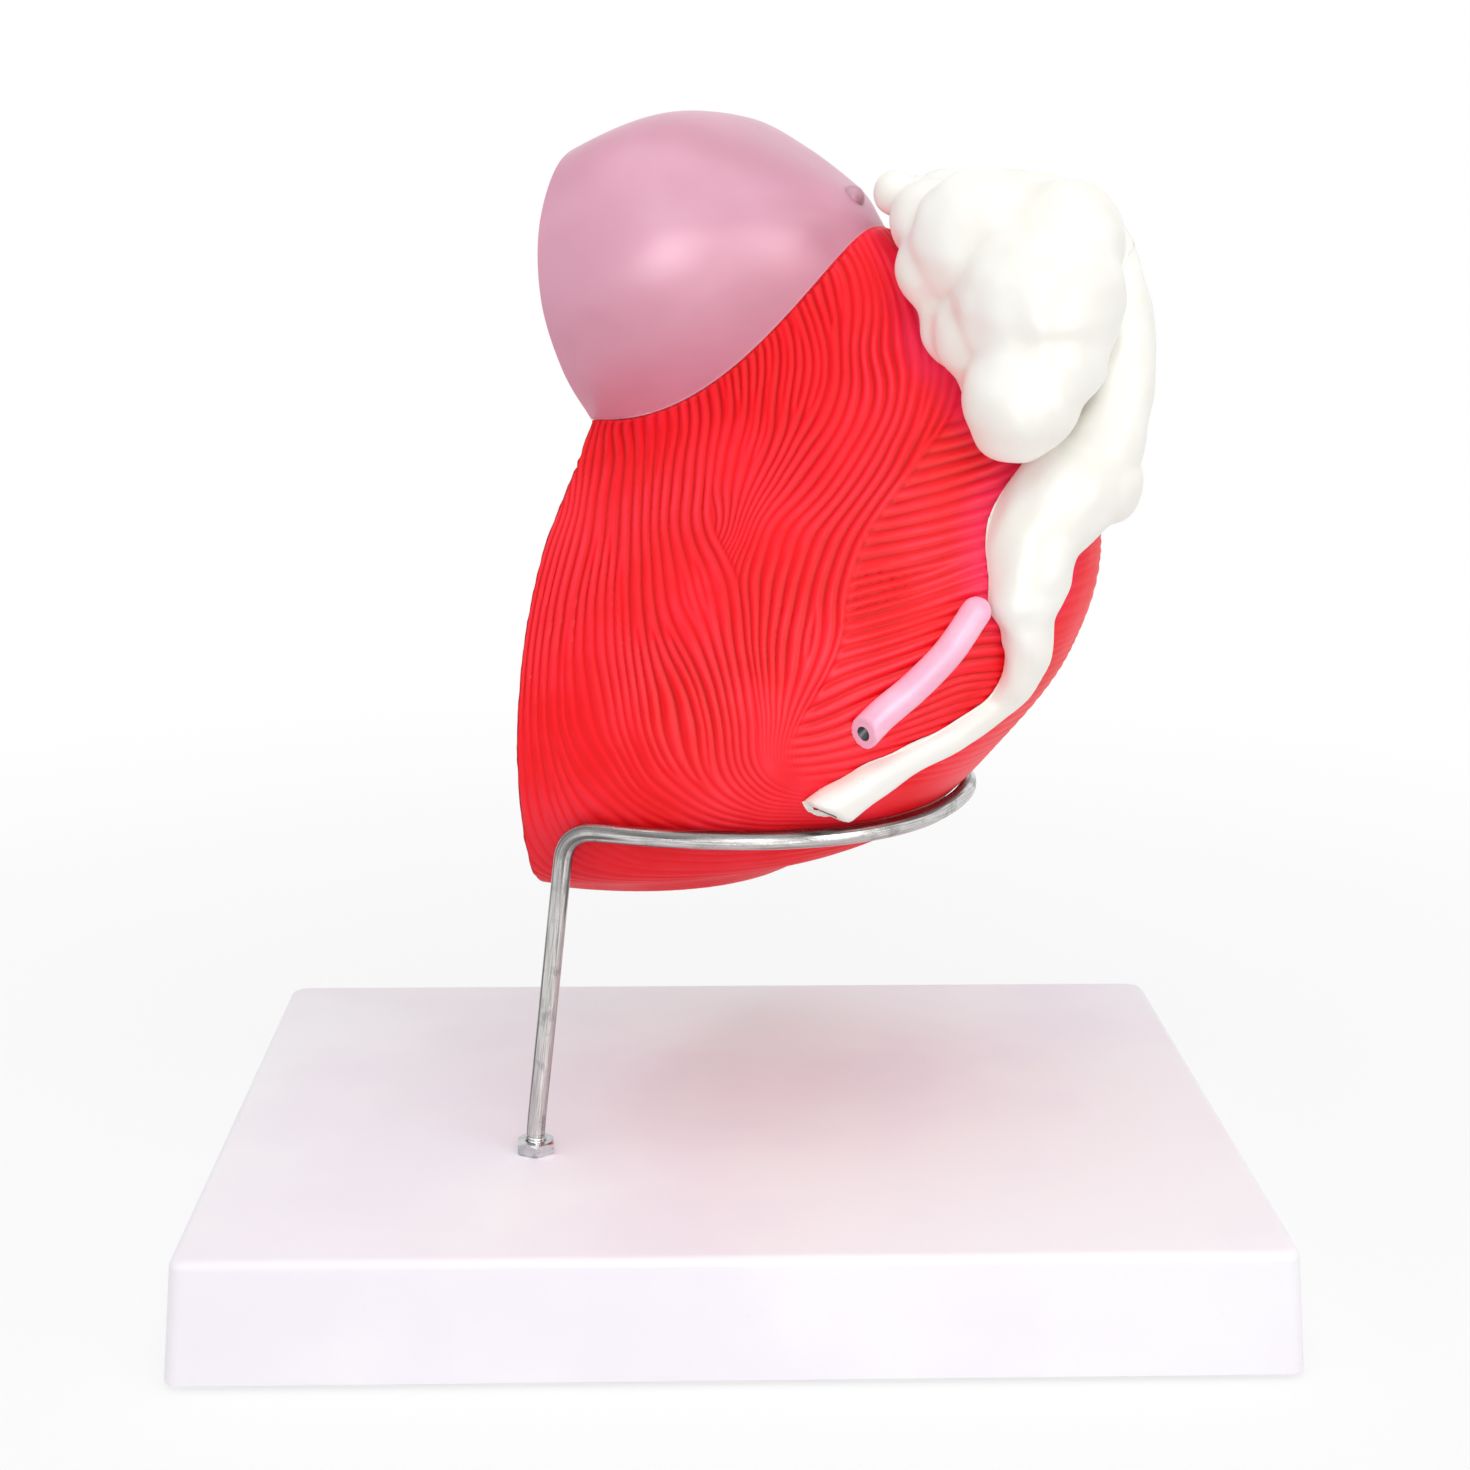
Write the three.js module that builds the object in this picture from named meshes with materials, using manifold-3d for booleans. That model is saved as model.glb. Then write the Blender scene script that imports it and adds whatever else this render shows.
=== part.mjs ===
// Bladder anatomy model: half of an enlarged male bladder with its prostate, cut by a flat frontal
// face, lying prostate-up in a bent steel rod on a white base. Millimetres, +Z up. The origin lies
// on the ground under the middle of the base.
import * as THREE from 'three';
import { mergeVertices } from 'three/addons/utils/BufferGeometryUtils.js';
import Module from 'manifold-3d';

const wasm = await Module();
wasm.setup();

// Clearances
const touchGap = 0.3; // between curved pieces that rest on or in each other
const seamGap = 0.5; // at the glue line between bladder and prostate
const threadGap = 0.3; // between rod and nut, washer or board, on the radius
const cutPast = 1; // how far a cut in the base pieces runs past the face that it opens
const cutMargin = 20; // how far a cut in the organ pieces runs past what it cuts

// Base moulding
const baseWidth = 340;
const baseDepth = 240;
const baseHeight = 38;
const baseDraft = 2.7; // how far each side leans in from bottom to top
const baseEdgeRadius = 3;
const baseCornerRadius = 5;
const baseWall = 3;
const ribThickness = 2.5;
const ribHeight = 12;
const ribSpacingX = 90;
const ribSpacingY = 120;

// Closing plate, screws and feet under the base
const plateThickness = 2.5;
const plateRecess = 1.5;
const plateClearance = 0.5;
const screwInset = 16;
const screwPostRadius = 5;
const screwShankRadius = 1.5;
const screwPilotRadius = 1.8;
const screwShankLength = 12;
const screwHeadRadius = 3.5;
const screwHeadHeight = 1.8;
const screwHeadChamfer = 0.9;
const footRadius = 10;
const footChamfer = 0.6;
const footProud = 2;
const footInset = 36;

// Rod, nuts and washer
const rodRadius = 3;
const rodFootX = -63.8;
const rodFootY = -39.7;
const rodStudAbove = 7; // upright stretch of the rod above the board
const rodStudEnd = 5; // how far the thread stands out under the lower nut
const rodBendReach = 10; // from the corner of the bend to where each straight begins
const nutAcrossFlats = 11.5;
const nutHeight = 4;
const nutTurn = THREE.MathUtils.degToRad(3);
const washerRadius = 9;
const washerThickness = 1.5;
const bossRadius = 12;
const bossDepth = 6;

// Where the organ stands over the base: its cut face faces left and a little to the back
const organX = -30;
const organY = 40;
const organTurn = THREE.MathUtils.degToRad(-28);

// Organ frame: x points backwards from the cut face, y to the organ's left side, z up from the
// underside of the base moulding
const cradleHeight = 147.5;
const cradleStart = 0.2; // angle round the organ at which the rod begins and ends
const sectionRoundness = 2.3; // 2 is an ellipse, more is boxier

// Each station of the bladder and the prostate: height and half width at the cut face, depth and
// height at the back, sag of the line between them, roundness. The seam between them is one station.
const seamStation = { rimZ: 270, half: 32.5, depth: 86, backZ: 332, sag: 2.2, roundness: 2.8 };
const bladderStations = [
  { rimZ: 110, half: 0, depth: 0, backZ: 110, sag: 1.2 },
  { rimZ: 114, half: 40, depth: 51, backZ: 117, sag: 1.2 },
  { rimZ: 120.5, half: 60, depth: 73, backZ: 128.5, sag: 1.2 },
  { rimZ: 130.5, half: 75, depth: 101, backZ: 139.5, sag: 1.2 },
  { rimZ: 165, half: 82, depth: 127, backZ: 166, sag: 1.2 },
  { rimZ: 200, half: 78, depth: 151, backZ: 200, sag: 1.25 },
  { rimZ: 230, half: 65.5, depth: 160, backZ: 240, sag: 1.35 },
  { rimZ: 252, half: 47, depth: 143, backZ: 290, sag: 1.6 },
  seamStation,
];
const prostateStations = [
  seamStation,
  { rimZ: 288, half: 51, depth: 78, backZ: 342, sag: 1.6, roundness: 2.5 },
  { rimZ: 309, half: 63, depth: 68, backZ: 349, sag: 1.3 },
  { rimZ: 332, half: 63.5, depth: 52, backZ: 358, sag: 1.1 },
  { rimZ: 351, half: 51, depth: 35, backZ: 366, sag: 1 },
  { rimZ: 357.5, half: 29, depth: 18, backZ: 367, sag: 1 },
  { rimZ: 358, half: 0, depth: 0, backZ: 358, sag: 1 },
];

// Hollow of the bladder, with its muscle wall outside and its mucous lining inside
const hollowStations = [
  { rimZ: 121, half: 0, depth: 0, backZ: 121, sag: 1.2 },
  { rimZ: 125, half: 34, depth: 43, backZ: 128, sag: 1.2 },
  { rimZ: 131, half: 52, depth: 64, backZ: 139, sag: 1.2 },
  { rimZ: 141, half: 64, depth: 90, backZ: 150, sag: 1.2 },
  { rimZ: 168, half: 70.5, depth: 114, backZ: 171, sag: 1.2 },
  { rimZ: 200, half: 66, depth: 137, backZ: 202, sag: 1.2 },
  { rimZ: 226, half: 53, depth: 143, backZ: 236, sag: 1.3 },
  { rimZ: 245, half: 34, depth: 116, backZ: 272, sag: 1.5 },
  { rimZ: 257, half: 15, depth: 50, backZ: 274, sag: 1.5 },
  { rimZ: 260, half: 0, depth: 0, backZ: 260, sag: 1.5 },
];
const liningThickness = 3;
const capsuleThickness = 3;
const urethraRadius = 5;
const urethraWall = 2;
const urethraReach = 14; // how far its bore runs down into the hollow's pointed top

// Vesicle, duct and ureter of each side, as places and radii on the side with negative y: the left
// side's are mirrored afterwards. A vesicle is a cluster of lobes. A duct runs from the prostate
// through its wide upper part, with the ampulla's bulge, to its cut end.
const rightSide = {
  vesicle: [
    { at: [95, -9, 342], radius: 6.5 },
    { at: [109, -14.5, 334], radius: 12 },
    { at: [117, -25.5, 321], radius: 13.5 },
    { at: [130, -28, 329], radius: 20 },
    { at: [151, -34, 312], radius: 24 },
    { at: [149.5, -43, 285], radius: 17 },
    { at: [154, -25, 328], radius: 18 },
    { at: [134.5, -32, 302], radius: 15 },
    { at: [148, -43.5, 279], radius: 13 },
    { at: [127, -20.5, 306], radius: 17 },
    { at: [143.5, -27, 292], radius: 18 },
    { at: [153.5, -36, 297], radius: 18.5 },
  ],
  duct: [
    { at: [93, -5.5, 342], radius: 4.5 },
    { at: [116, -8, 343], radius: 6 },
    { at: [145, -10, 339], radius: 8.5 },
    { at: [160, -11.5, 327], radius: 10 },
    { at: [167, -11.5, 312], radius: 10 },
    { at: [170, -11, 298], radius: 9.5 },
    { at: [169, -12, 282], radius: 10.5 },
    { at: [165, -15, 268], radius: 13 },
    { at: [158.5, -20.5, 257], radius: 16.5 },
    { at: [150, -27.5, 243], radius: 14.8 },
    { at: [149.5, -30, 232], radius: 13.5 },
    { at: [149, -32, 223], radius: 11.3 },
    { at: [150, -31.5, 214.5], radius: 8.4 },
    { at: [150, -30, 206], radius: 7 },
    { at: [146, -27, 197.5], radius: 6.5 },
    { at: [139, -26.5, 190], radius: 6.3 },
    { at: [129, -34, 181.5], radius: 6.3 },
    { at: [115, -44.5, 172.5], radius: 6.3 },
    { at: [107, -51, 166.5], radius: 6.8 },
    { at: [96.5, -59, 157], radius: 7.4 },
  ],
  ampulla: { at: [165, -14.5, 258], radius: 13.5 },
  ureter: [
    { at: [138.5, -45, 221], radius: 4.6 },
    { at: [132, -50, 209], radius: 4.7 },
    { at: [123, -55, 198], radius: 4.8 },
    { at: [115, -59.5, 190], radius: 4.9 },
    { at: [110, -62, 184], radius: 5 },
  ],
};

// The left side's pieces lie closer to the cut face, so that the right ones hide them from the front
const leftSide = {
  vesicle: [
    { at: [95, -9, 341], radius: 6 },
    { at: [107, -15, 332], radius: 11 },
    { at: [112, -26, 314], radius: 13 },
    { at: [124, -29, 326], radius: 18 },
    { at: [135, -37, 309], radius: 21 },
    { at: [130, -44, 285], radius: 18 },
    { at: [138, -26, 325], radius: 16 },
    { at: [118, -38, 301], radius: 16 },
    { at: [124, -47, 277], radius: 14 },
    { at: [117, -25, 305], radius: 16 },
    { at: [130, -34, 291], radius: 17 },
    { at: [136, -38, 296], radius: 17 },
  ],
  duct: [
    { at: [93, -5.5, 341], radius: 4.5 },
    { at: [116, -9, 341], radius: 5.5 },
    { at: [140, -12, 335], radius: 8 },
    { at: [152, -14, 323], radius: 9.5 },
    { at: [156, -16, 310], radius: 9.5 },
    { at: [155, -19, 297], radius: 9.5 },
    { at: [152, -23, 282], radius: 10.5 },
    { at: [146, -29, 267], radius: 12 },
    { at: [136, -38, 253], radius: 13.5 },
    { at: [128, -44, 241], radius: 12.5 },
    { at: [122, -50, 230], radius: 11 },
    { at: [119, -55, 219], radius: 9 },
    { at: [118, -59, 208], radius: 7.2 },
    { at: [115.5, -61, 197], radius: 6.5 },
    { at: [108.5, -64, 187], radius: 6.3 },
    { at: [99, -67, 179], radius: 6.3 },
    { at: [89, -70.5, 171], radius: 6.6 },
    { at: [78, -75, 165], radius: 7.4 },
  ],
  ampulla: { at: [140, -33, 254], radius: 12 },
  ureter: [
    { at: [105.5, -62, 222], radius: 4.6 },
    { at: [98.5, -66.5, 210], radius: 4.7 },
    { at: [90.5, -71, 199], radius: 4.8 },
    { at: [84, -74, 191], radius: 4.9 },
    { at: [79, -76, 185], radius: 5 },
  ],
};
const ductLumen = 1.6;
const ductLumenDepth = 12;
const ureterLumen = 2.4;
const ureterLumenDepth = 12;

// Facets
const sectionSteps = 16;
const stepsPerStation = 2;
const seamSteps = 14;
const tubeSides = 10;
const ballSides = 10;
const rodSides = 8;
const rodSteps = 84;
const cradlePoints = 17;
const roundSides = 20;
const screwSides = 12;
const cornerSteps = 3;
const edgeSteps = 4;

// Heights and sizes that follow from the ones above
const shellBottom = footProud;
const baseTop = shellBottom + baseHeight;
const plateBottom = shellBottom + plateRecess;
const plateTop = plateBottom + plateThickness;
const bossBottom = baseTop - baseWall - bossDepth;
const washerBottom = bossBottom - washerThickness;
const lowNutBottom = washerBottom - nutHeight;
const organTop = Math.max(...prostateStations.map(({ backZ }) => backZ));
const hollowTop = hollowStations[hollowStations.length - 1].rimZ;
const cutBlock = organTop + cutMargin; // side of a block that takes in half of the organ

const colours = {
  base: { color: 0xf4f2f5, roughness: 0.42, metalness: 0 },
  steel: { color: 0xb9babb, roughness: 0.25, metalness: 1 },
  plate: { color: 0xe4e2e4, roughness: 0.6, metalness: 0 },
  rubber: { color: 0x2a2a2b, roughness: 0.85, metalness: 0 },
  muscle: { color: 0xe8202f, roughness: 0.42, metalness: 0 },
  mucosa: { color: 0xf0a79b, roughness: 0.4, metalness: 0 },
  prostate: { color: 0xd79db9, roughness: 0.38, metalness: 0 },
  gland: { color: 0xd98c8f, roughness: 0.45, metalness: 0 },
  urethra: { color: 0xf6c3b6, roughness: 0.4, metalness: 0 },
  ivory: { color: 0xf8f6ee, roughness: 0.38, metalness: 0 },
  ureter: { color: 0xf7a9c8, roughness: 0.4, metalness: 0 },
};

// Solids

function toSolid(geometry) {
  const bare = geometry.index ? geometry.toNonIndexed() : geometry.clone();
  for (const name of Object.keys(bare.attributes)) {
    if (name !== 'position') bare.deleteAttribute(name);
  }
  const merged = mergeVertices(bare, 1e-4);
  const position = merged.attributes.position;
  const corners = Array.from(merged.index.array);
  const kept = [];
  let volume = 0;
  const [a, b, c] = [new THREE.Vector3(), new THREE.Vector3(), new THREE.Vector3()];
  for (let i = 0; i < corners.length; i += 3) {
    const [p, q, r] = corners.slice(i, i + 3);
    if (p === q || q === r || r === p) continue;
    kept.push([p, q, r]);
    a.fromBufferAttribute(position, p);
    b.fromBufferAttribute(position, q);
    c.fromBufferAttribute(position, r);
    volume += a.dot(b.cross(c));
  }
  const triangles = volume < 0 ? kept.map(([p, q, r]) => [p, r, q]) : kept;
  return new wasm.Manifold(
    new wasm.Mesh({
      numProp: 3,
      vertProperties: new Float32Array(position.array),
      triVerts: new Uint32Array(triangles.flat()),
    }),
  );
}

function toGeometry(solid) {
  const mesh = solid.getMesh();
  const geometry = new THREE.BufferGeometry();
  geometry.setAttribute('position', new THREE.BufferAttribute(mesh.vertProperties, mesh.numProp));
  geometry.setIndex(new THREE.BufferAttribute(mesh.triVerts, 1));
  geometry.computeVertexNormals();
  return geometry;
}

// A closed solid through loops of equally many points, each end closed across from side to side
function loft(loops) {
  const count = loops[0].length;
  const points = loops.flat().flatMap((p) => [p.x, p.y, p.z]);
  const faces = [];
  for (let i = 0; i + 1 < loops.length; i += 1) {
    for (let j = 0; j < count; j += 1) {
      const [a, b] = [i * count + j, i * count + ((j + 1) % count)];
      faces.push(a, b, b + count, a, b + count, a + count);
    }
  }
  for (const [start, flip] of [[0, true], [(loops.length - 1) * count, false]]) {
    for (let j = 0; j + 1 < count - 1 - j; j += 1) {
      const [a, b, c, d] = [start + j, start + j + 1, start + count - 2 - j, start + count - 1 - j];
      const square = b === c ? [a, b, d] : [a, b, c, a, c, d];
      faces.push(...(flip ? square.reverse() : square));
    }
  }
  const geometry = new THREE.BufferGeometry();
  geometry.setAttribute('position', new THREE.BufferAttribute(new Float32Array(points), 3));
  geometry.setIndex(faces);
  return geometry;
}

function box(width, depth, height, x, y, z) {
  return toSolid(new THREE.BoxGeometry(width, depth, height).translate(x, y, z + height / 2));
}

function post(radius, height, x, y, z) {
  const geometry = new THREE.CylinderGeometry(radius, radius, height, roundSides);
  return toSolid(geometry.rotateX(Math.PI / 2).translate(x, y, z + height / 2));
}

function ball({ at, radius }, grow = 0) {
  return toSolid(new THREE.SphereGeometry(radius + grow, ballSides, ballSides - 3).translate(...at));
}

function union(solids) {
  return solids.reduce((whole, solid) => whole.add(solid));
}

function fourCorners(inset) {
  const [x, y] = [baseWidth / 2 - inset, baseDepth / 2 - inset];
  return [
    { place: 'front_left', x: -x, y: -y },
    { place: 'front_right', x, y: -y },
    { place: 'rear_left', x: -x, y },
    { place: 'rear_right', x, y },
  ];
}

// Organ surface

function mirrored({ rimZ, half, depth, backZ, sag, roundness }) {
  return { rimZ, half: -half, depth: -depth, backZ, sag, roundness };
}

function extrapolated(near, next) {
  const beyond = {};
  for (const key of Object.keys(near)) beyond[key] = 2 * near[key] - next[key];
  return beyond;
}

// Smooth values between the stations; an end where the section closes is rounded over
function stationAt(stations, t) {
  const full = stations.map((station) => ({ roundness: sectionRoundness, ...station }));
  const last = full.length - 1;
  const before = full[0].half === 0 ? mirrored(full[1]) : extrapolated(full[0], full[1]);
  const after = full[last].half === 0 ? mirrored(full[last - 1]) : extrapolated(full[last], full[last - 1]);
  const padded = [before, ...full, after];
  const index = Math.min(Math.floor(t), last - 1);
  const u = t - index;
  const [p0, p1, p2, p3] = padded.slice(index, index + 4);
  const value = {};
  for (const key of Object.keys(full[0])) {
    const slope = p2[key] - p0[key];
    const bend = 2 * p0[key] - 5 * p1[key] + 4 * p2[key] - p3[key];
    const twist = -p0[key] + 3 * p1[key] - 3 * p2[key] + p3[key];
    value[key] = p1[key] + 0.5 * (slope * u + bend * u * u + twist * u * u * u);
  }
  return value;
}

// A point of the surface: t runs through the stations, angle from the near rim (0) round the
// back to the far rim (pi)
function surfacePoint(stations, t, angle) {
  const { rimZ, half, depth, backZ, sag, roundness } = stationAt(stations, t);
  const along = Math.cos(angle);
  const back = Math.pow(Math.abs(Math.sin(angle)), 2 / roundness);
  const across = Math.sign(along) * Math.pow(Math.abs(along), 2 / roundness);
  return new THREE.Vector3(depth * back, -half * across, rimZ + (backZ - rimZ) * Math.pow(back, sag));
}

function surfaceNormal(stations, t, angle) {
  const step = 1e-3;
  const up = surfacePoint(stations, t + step, angle).sub(surfacePoint(stations, t - step, angle));
  const round = surfacePoint(stations, t, angle + step).sub(surfacePoint(stations, t, angle - step));
  return round.cross(up).normalize();
}

// Solid between the surface and the cut face; grow moves the surface out, behind carries the
// solid on past the cut face
function organSolid(stations, { grow = 0, behind = 0 } = {}) {
  const last = stations.length - 1;
  const tall = stations[last].rimZ - stations[0].rimZ;
  const middle = (stations[last].rimZ + stations[0].rimZ) / 2;
  const widest = Math.max(...stations.map((station) => station.half));
  const deepest = Math.max(...stations.map((station) => station.depth));
  const scale = new THREE.Vector3(1 + grow / deepest, 1 + grow / widest, 1 + (2 * grow) / tall);
  const loops = [];
  for (let i = 0; i <= last * stepsPerStation; i += 1) {
    const loop = [];
    for (let j = 0; j <= sectionSteps; j += 1) {
      const angle = (Math.PI * j) / sectionSteps;
      const point = surfacePoint(stations, i / stepsPerStation, angle);
      point.z -= middle;
      point.multiply(scale);
      point.z += middle;
      if (behind > 0 && j === 0) loop.push(point.clone().setX(-behind));
      loop.push(point);
      if (behind > 0 && j === sectionSteps) loop.push(point.clone().setX(-behind));
    }
    loops.push(loop);
  }
  return toSolid(loft(loops));
}

// Everything over the seam between bladder and prostate, lifted by shift
function aboveSeam(shift) {
  const { rimZ, depth, backZ, sag } = seamStation;
  const side = cutBlock / 2;
  const loops = [];
  for (let i = -1; i <= seamSteps; i += 1) {
    const x = i < 0 ? -2 * cutMargin : ((depth + cutMargin) * i) / seamSteps;
    const z = rimZ + (backZ - rimZ) * Math.pow(Math.max(x, 0) / depth, sag) + shift;
    loops.push([
      new THREE.Vector3(x, -side, z),
      new THREE.Vector3(x, -side, cutBlock),
      new THREE.Vector3(x, side, cutBlock),
      new THREE.Vector3(x, side, z),
    ]);
  }
  return toSolid(loft(loops));
}

// A round tube of changing radius through the given places; grow also moves its two ends out
function taperedTube(path, { grow = 0, steps = 2 } = {}) {
  const curve = new THREE.CatmullRomCurve3(path.map(({ at }) => new THREE.Vector3(...at)));
  const count = (path.length - 1) * steps;
  const frames = curve.computeFrenetFrames(count, false);
  const loops = [];
  for (let i = 0; i <= count; i += 1) {
    const u = curve.getUtoTmapping(i / count);
    const centre = curve.getPoint(u);
    if (i === 0) centre.addScaledVector(frames.tangents[i], -grow);
    if (i === count) centre.addScaledVector(frames.tangents[i], grow);
    const place = Math.min(u * (path.length - 1), path.length - 1.0001);
    const [near, next] = [path[Math.floor(place)], path[Math.floor(place) + 1]];
    const blend = THREE.MathUtils.smoothstep(place - Math.floor(place), 0, 1);
    const radius = THREE.MathUtils.lerp(near.radius, next.radius, blend) + grow;
    const loop = [];
    for (let j = 0; j < tubeSides; j += 1) {
      const angle = (2 * Math.PI * j) / tubeSides;
      loop.push(
        centre
          .clone()
          .addScaledVector(frames.normals[i], radius * Math.cos(angle))
          .addScaledVector(frames.binormals[i], radius * Math.sin(angle)),
      );
    }
    loops.push(loop);
  }
  return toSolid(loft(loops));
}

// A blind hole into the last end of a tube
function lumen(path, radius, depth) {
  const end = new THREE.Vector3(...path[path.length - 1].at);
  const inward = new THREE.Vector3(...path[path.length - 2].at).sub(end).normalize();
  const from = end.clone().addScaledVector(inward, -radius);
  const to = end.clone().addScaledVector(inward, depth);
  return taperedTube([{ at: from.toArray(), radius }, { at: to.toArray(), radius }], { steps: 1 });
}

// Base pieces

function roundedRectangle(width, depth, radius, z) {
  const loop = [];
  const corners = [[1, 1], [-1, 1], [-1, -1], [1, -1]];
  corners.forEach(([signX, signY], quarter) => {
    for (let k = 0; k <= cornerSteps; k += 1) {
      const angle = (Math.PI / 2) * (quarter + k / cornerSteps);
      loop.push(
        new THREE.Vector3(
          signX * (width / 2 - radius) + radius * Math.cos(angle),
          signY * (depth / 2 - radius) + radius * Math.sin(angle),
          z,
        ),
      );
    }
  });
  return loop;
}

function baseOutline() {
  const loops = [roundedRectangle(baseWidth, baseDepth, baseCornerRadius, shellBottom)];
  for (let k = 0; k <= edgeSteps; k += 1) {
    const angle = (Math.PI / 2) * (k / edgeSteps);
    const inset = baseDraft + baseEdgeRadius * (1 - Math.cos(angle));
    const z = baseTop - baseEdgeRadius * (1 - Math.sin(angle));
    loops.push(roundedRectangle(baseWidth - 2 * inset, baseDepth - 2 * inset, baseCornerRadius, z));
  }
  return toSolid(loft(loops));
}

function baseHollow() {
  const inset = baseWall + baseDraft;
  return toSolid(
    loft([
      roundedRectangle(baseWidth - 2 * baseWall, baseDepth - 2 * baseWall, baseWall, shellBottom - cutPast),
      roundedRectangle(baseWidth - 2 * baseWall, baseDepth - 2 * baseWall, baseWall, shellBottom),
      roundedRectangle(baseWidth - 2 * inset, baseDepth - 2 * inset, baseWall, baseTop - baseWall),
    ]),
  );
}

// Ribs, screw posts and the rod's boss, all running half a wall into the top so that they fuse
function baseInsides() {
  const fuse = baseWall / 2;
  const ribBottom = baseTop - baseWall - ribHeight;
  const [acrossLength, alongLength] = [baseDepth - 2 * baseWall, baseWidth - 2 * baseWall];
  const ribs = [];
  for (const side of [-0.5, 0.5]) {
    ribs.push(box(ribThickness, acrossLength, ribHeight + fuse, side * ribSpacingX, 0, ribBottom));
    ribs.push(box(alongLength, ribThickness, ribHeight + fuse, 0, side * ribSpacingY, ribBottom));
  }
  const posts = fourCorners(screwInset).map(({ x, y }) =>
    post(screwPostRadius, baseTop - fuse - plateTop, x, y, plateTop),
  );
  const boss = post(bossRadius, bossDepth + fuse, rodFootX, rodFootY, bossBottom);
  return union([...ribs, ...posts, boss]);
}

function baseShell() {
  const holeDepth = baseTop - bossBottom + 2 * cutPast;
  const rodHole = post(rodRadius + threadGap, holeDepth, rodFootX, rodFootY, bossBottom - cutPast);
  const pilots = fourCorners(screwInset).map(({ x, y }) =>
    post(screwPilotRadius, screwShankLength, x, y, plateTop - cutPast),
  );
  return baseOutline().subtract(baseHollow()).add(baseInsides()).subtract(union([rodHole, ...pilots]));
}

function basePlate() {
  const inset = baseWall + plateClearance + baseDraft * ((plateTop - shellBottom) / baseHeight);
  const sheet = loft(
    [plateBottom, plateTop].map((z) =>
      roundedRectangle(baseWidth - 2 * inset, baseDepth - 2 * inset, baseWall, z),
    ),
  );
  const holes = fourCorners(screwInset).map(({ x, y }) =>
    post(screwPilotRadius, plateThickness + 2 * cutPast, x, y, plateBottom - cutPast),
  );
  return toSolid(sheet).subtract(union(holes));
}

function plateScrew() {
  const headBottom = plateBottom - screwHeadHeight;
  const tip = plateBottom + screwShankLength;
  const profile = [
    new THREE.Vector2(0, headBottom),
    new THREE.Vector2(screwHeadRadius - screwHeadChamfer, headBottom),
    new THREE.Vector2(screwHeadRadius, headBottom + screwHeadChamfer),
    new THREE.Vector2(screwHeadRadius, plateBottom),
    new THREE.Vector2(screwShankRadius, plateBottom),
    new THREE.Vector2(screwShankRadius, tip - screwShankRadius),
    new THREE.Vector2(0, tip),
  ];
  return new THREE.LatheGeometry(profile, screwSides).rotateX(Math.PI / 2);
}

function foot() {
  const profile = [
    new THREE.Vector2(0, 0),
    new THREE.Vector2(footRadius - footChamfer, 0),
    new THREE.Vector2(footRadius, footChamfer),
    new THREE.Vector2(footRadius, plateBottom),
    new THREE.Vector2(0, plateBottom),
  ];
  return new THREE.LatheGeometry(profile, roundSides).rotateX(Math.PI / 2);
}

// Rod pieces

// Centre of the rod where it touches the bladder at this angle, at the cradle's height
function cradlePoint(angle) {
  const offset = rodRadius + touchGap;
  const centreAt = (t) =>
    surfacePoint(bladderStations, t, angle).addScaledVector(surfaceNormal(bladderStations, t, angle), offset);
  let [low, high] = [1, bladderStations.length - 3];
  for (let halvings = 0; halvings < 40; halvings += 1) {
    const middle = (low + high) / 2;
    if (centreAt(middle).z < cradleHeight) low = middle;
    else high = middle;
  }
  return centreAt(low);
}

function rodPath(organFrame) {
  const loop = [];
  for (let i = 0; i < cradlePoints; i += 1) {
    const angle = THREE.MathUtils.lerp(cradleStart, Math.PI - cradleStart, i / (cradlePoints - 1));
    loop.push(cradlePoint(angle).applyMatrix4(organFrame));
  }
  const loopCurve = new THREE.CatmullRomCurve3(loop);
  const corner = loop[0].clone().addScaledVector(loopCurve.getTangent(0), -rodBendReach);
  const studBottom = new THREE.Vector3(rodFootX, rodFootY, lowNutBottom - rodStudEnd);
  const studTop = new THREE.Vector3(rodFootX, rodFootY, baseTop + rodStudAbove);
  const lean = corner.clone().sub(studTop).normalize();
  const legLow = studTop.clone().addScaledVector(lean, rodStudAbove);
  const legHigh = corner.clone().addScaledVector(lean, -rodBendReach);
  const studBend = new THREE.Vector3(rodFootX, rodFootY, baseTop + nutHeight);
  const path = new THREE.CurvePath();
  path.add(new THREE.LineCurve3(studBottom, studBend));
  path.add(new THREE.QuadraticBezierCurve3(studBend, studTop, legLow));
  path.add(new THREE.LineCurve3(legLow, legHigh));
  path.add(new THREE.QuadraticBezierCurve3(legHigh, corner, loop[0]));
  path.add(loopCurve);
  return path;
}

function supportRod(organFrame) {
  const section = new THREE.Shape();
  for (let j = 0; j < rodSides; j += 1) {
    const angle = (2 * Math.PI * (j + 0.5)) / rodSides;
    const [x, y] = [rodRadius * Math.cos(angle), rodRadius * Math.sin(angle)];
    if (j === 0) section.moveTo(x, y);
    else section.lineTo(x, y);
  }
  section.closePath();
  const extrudePath = rodPath(organFrame);
  return new THREE.ExtrudeGeometry(section, { steps: rodSteps, extrudePath, bevelEnabled: false });
}

function ringPlate(outline, height) {
  const hole = new THREE.Path();
  hole.absarc(0, 0, rodRadius + threadGap, 0, 2 * Math.PI, true);
  outline.holes.push(hole);
  const curveSegments = roundSides / 2;
  return new THREE.ExtrudeGeometry(outline, { depth: height, bevelEnabled: false, curveSegments });
}

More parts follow.
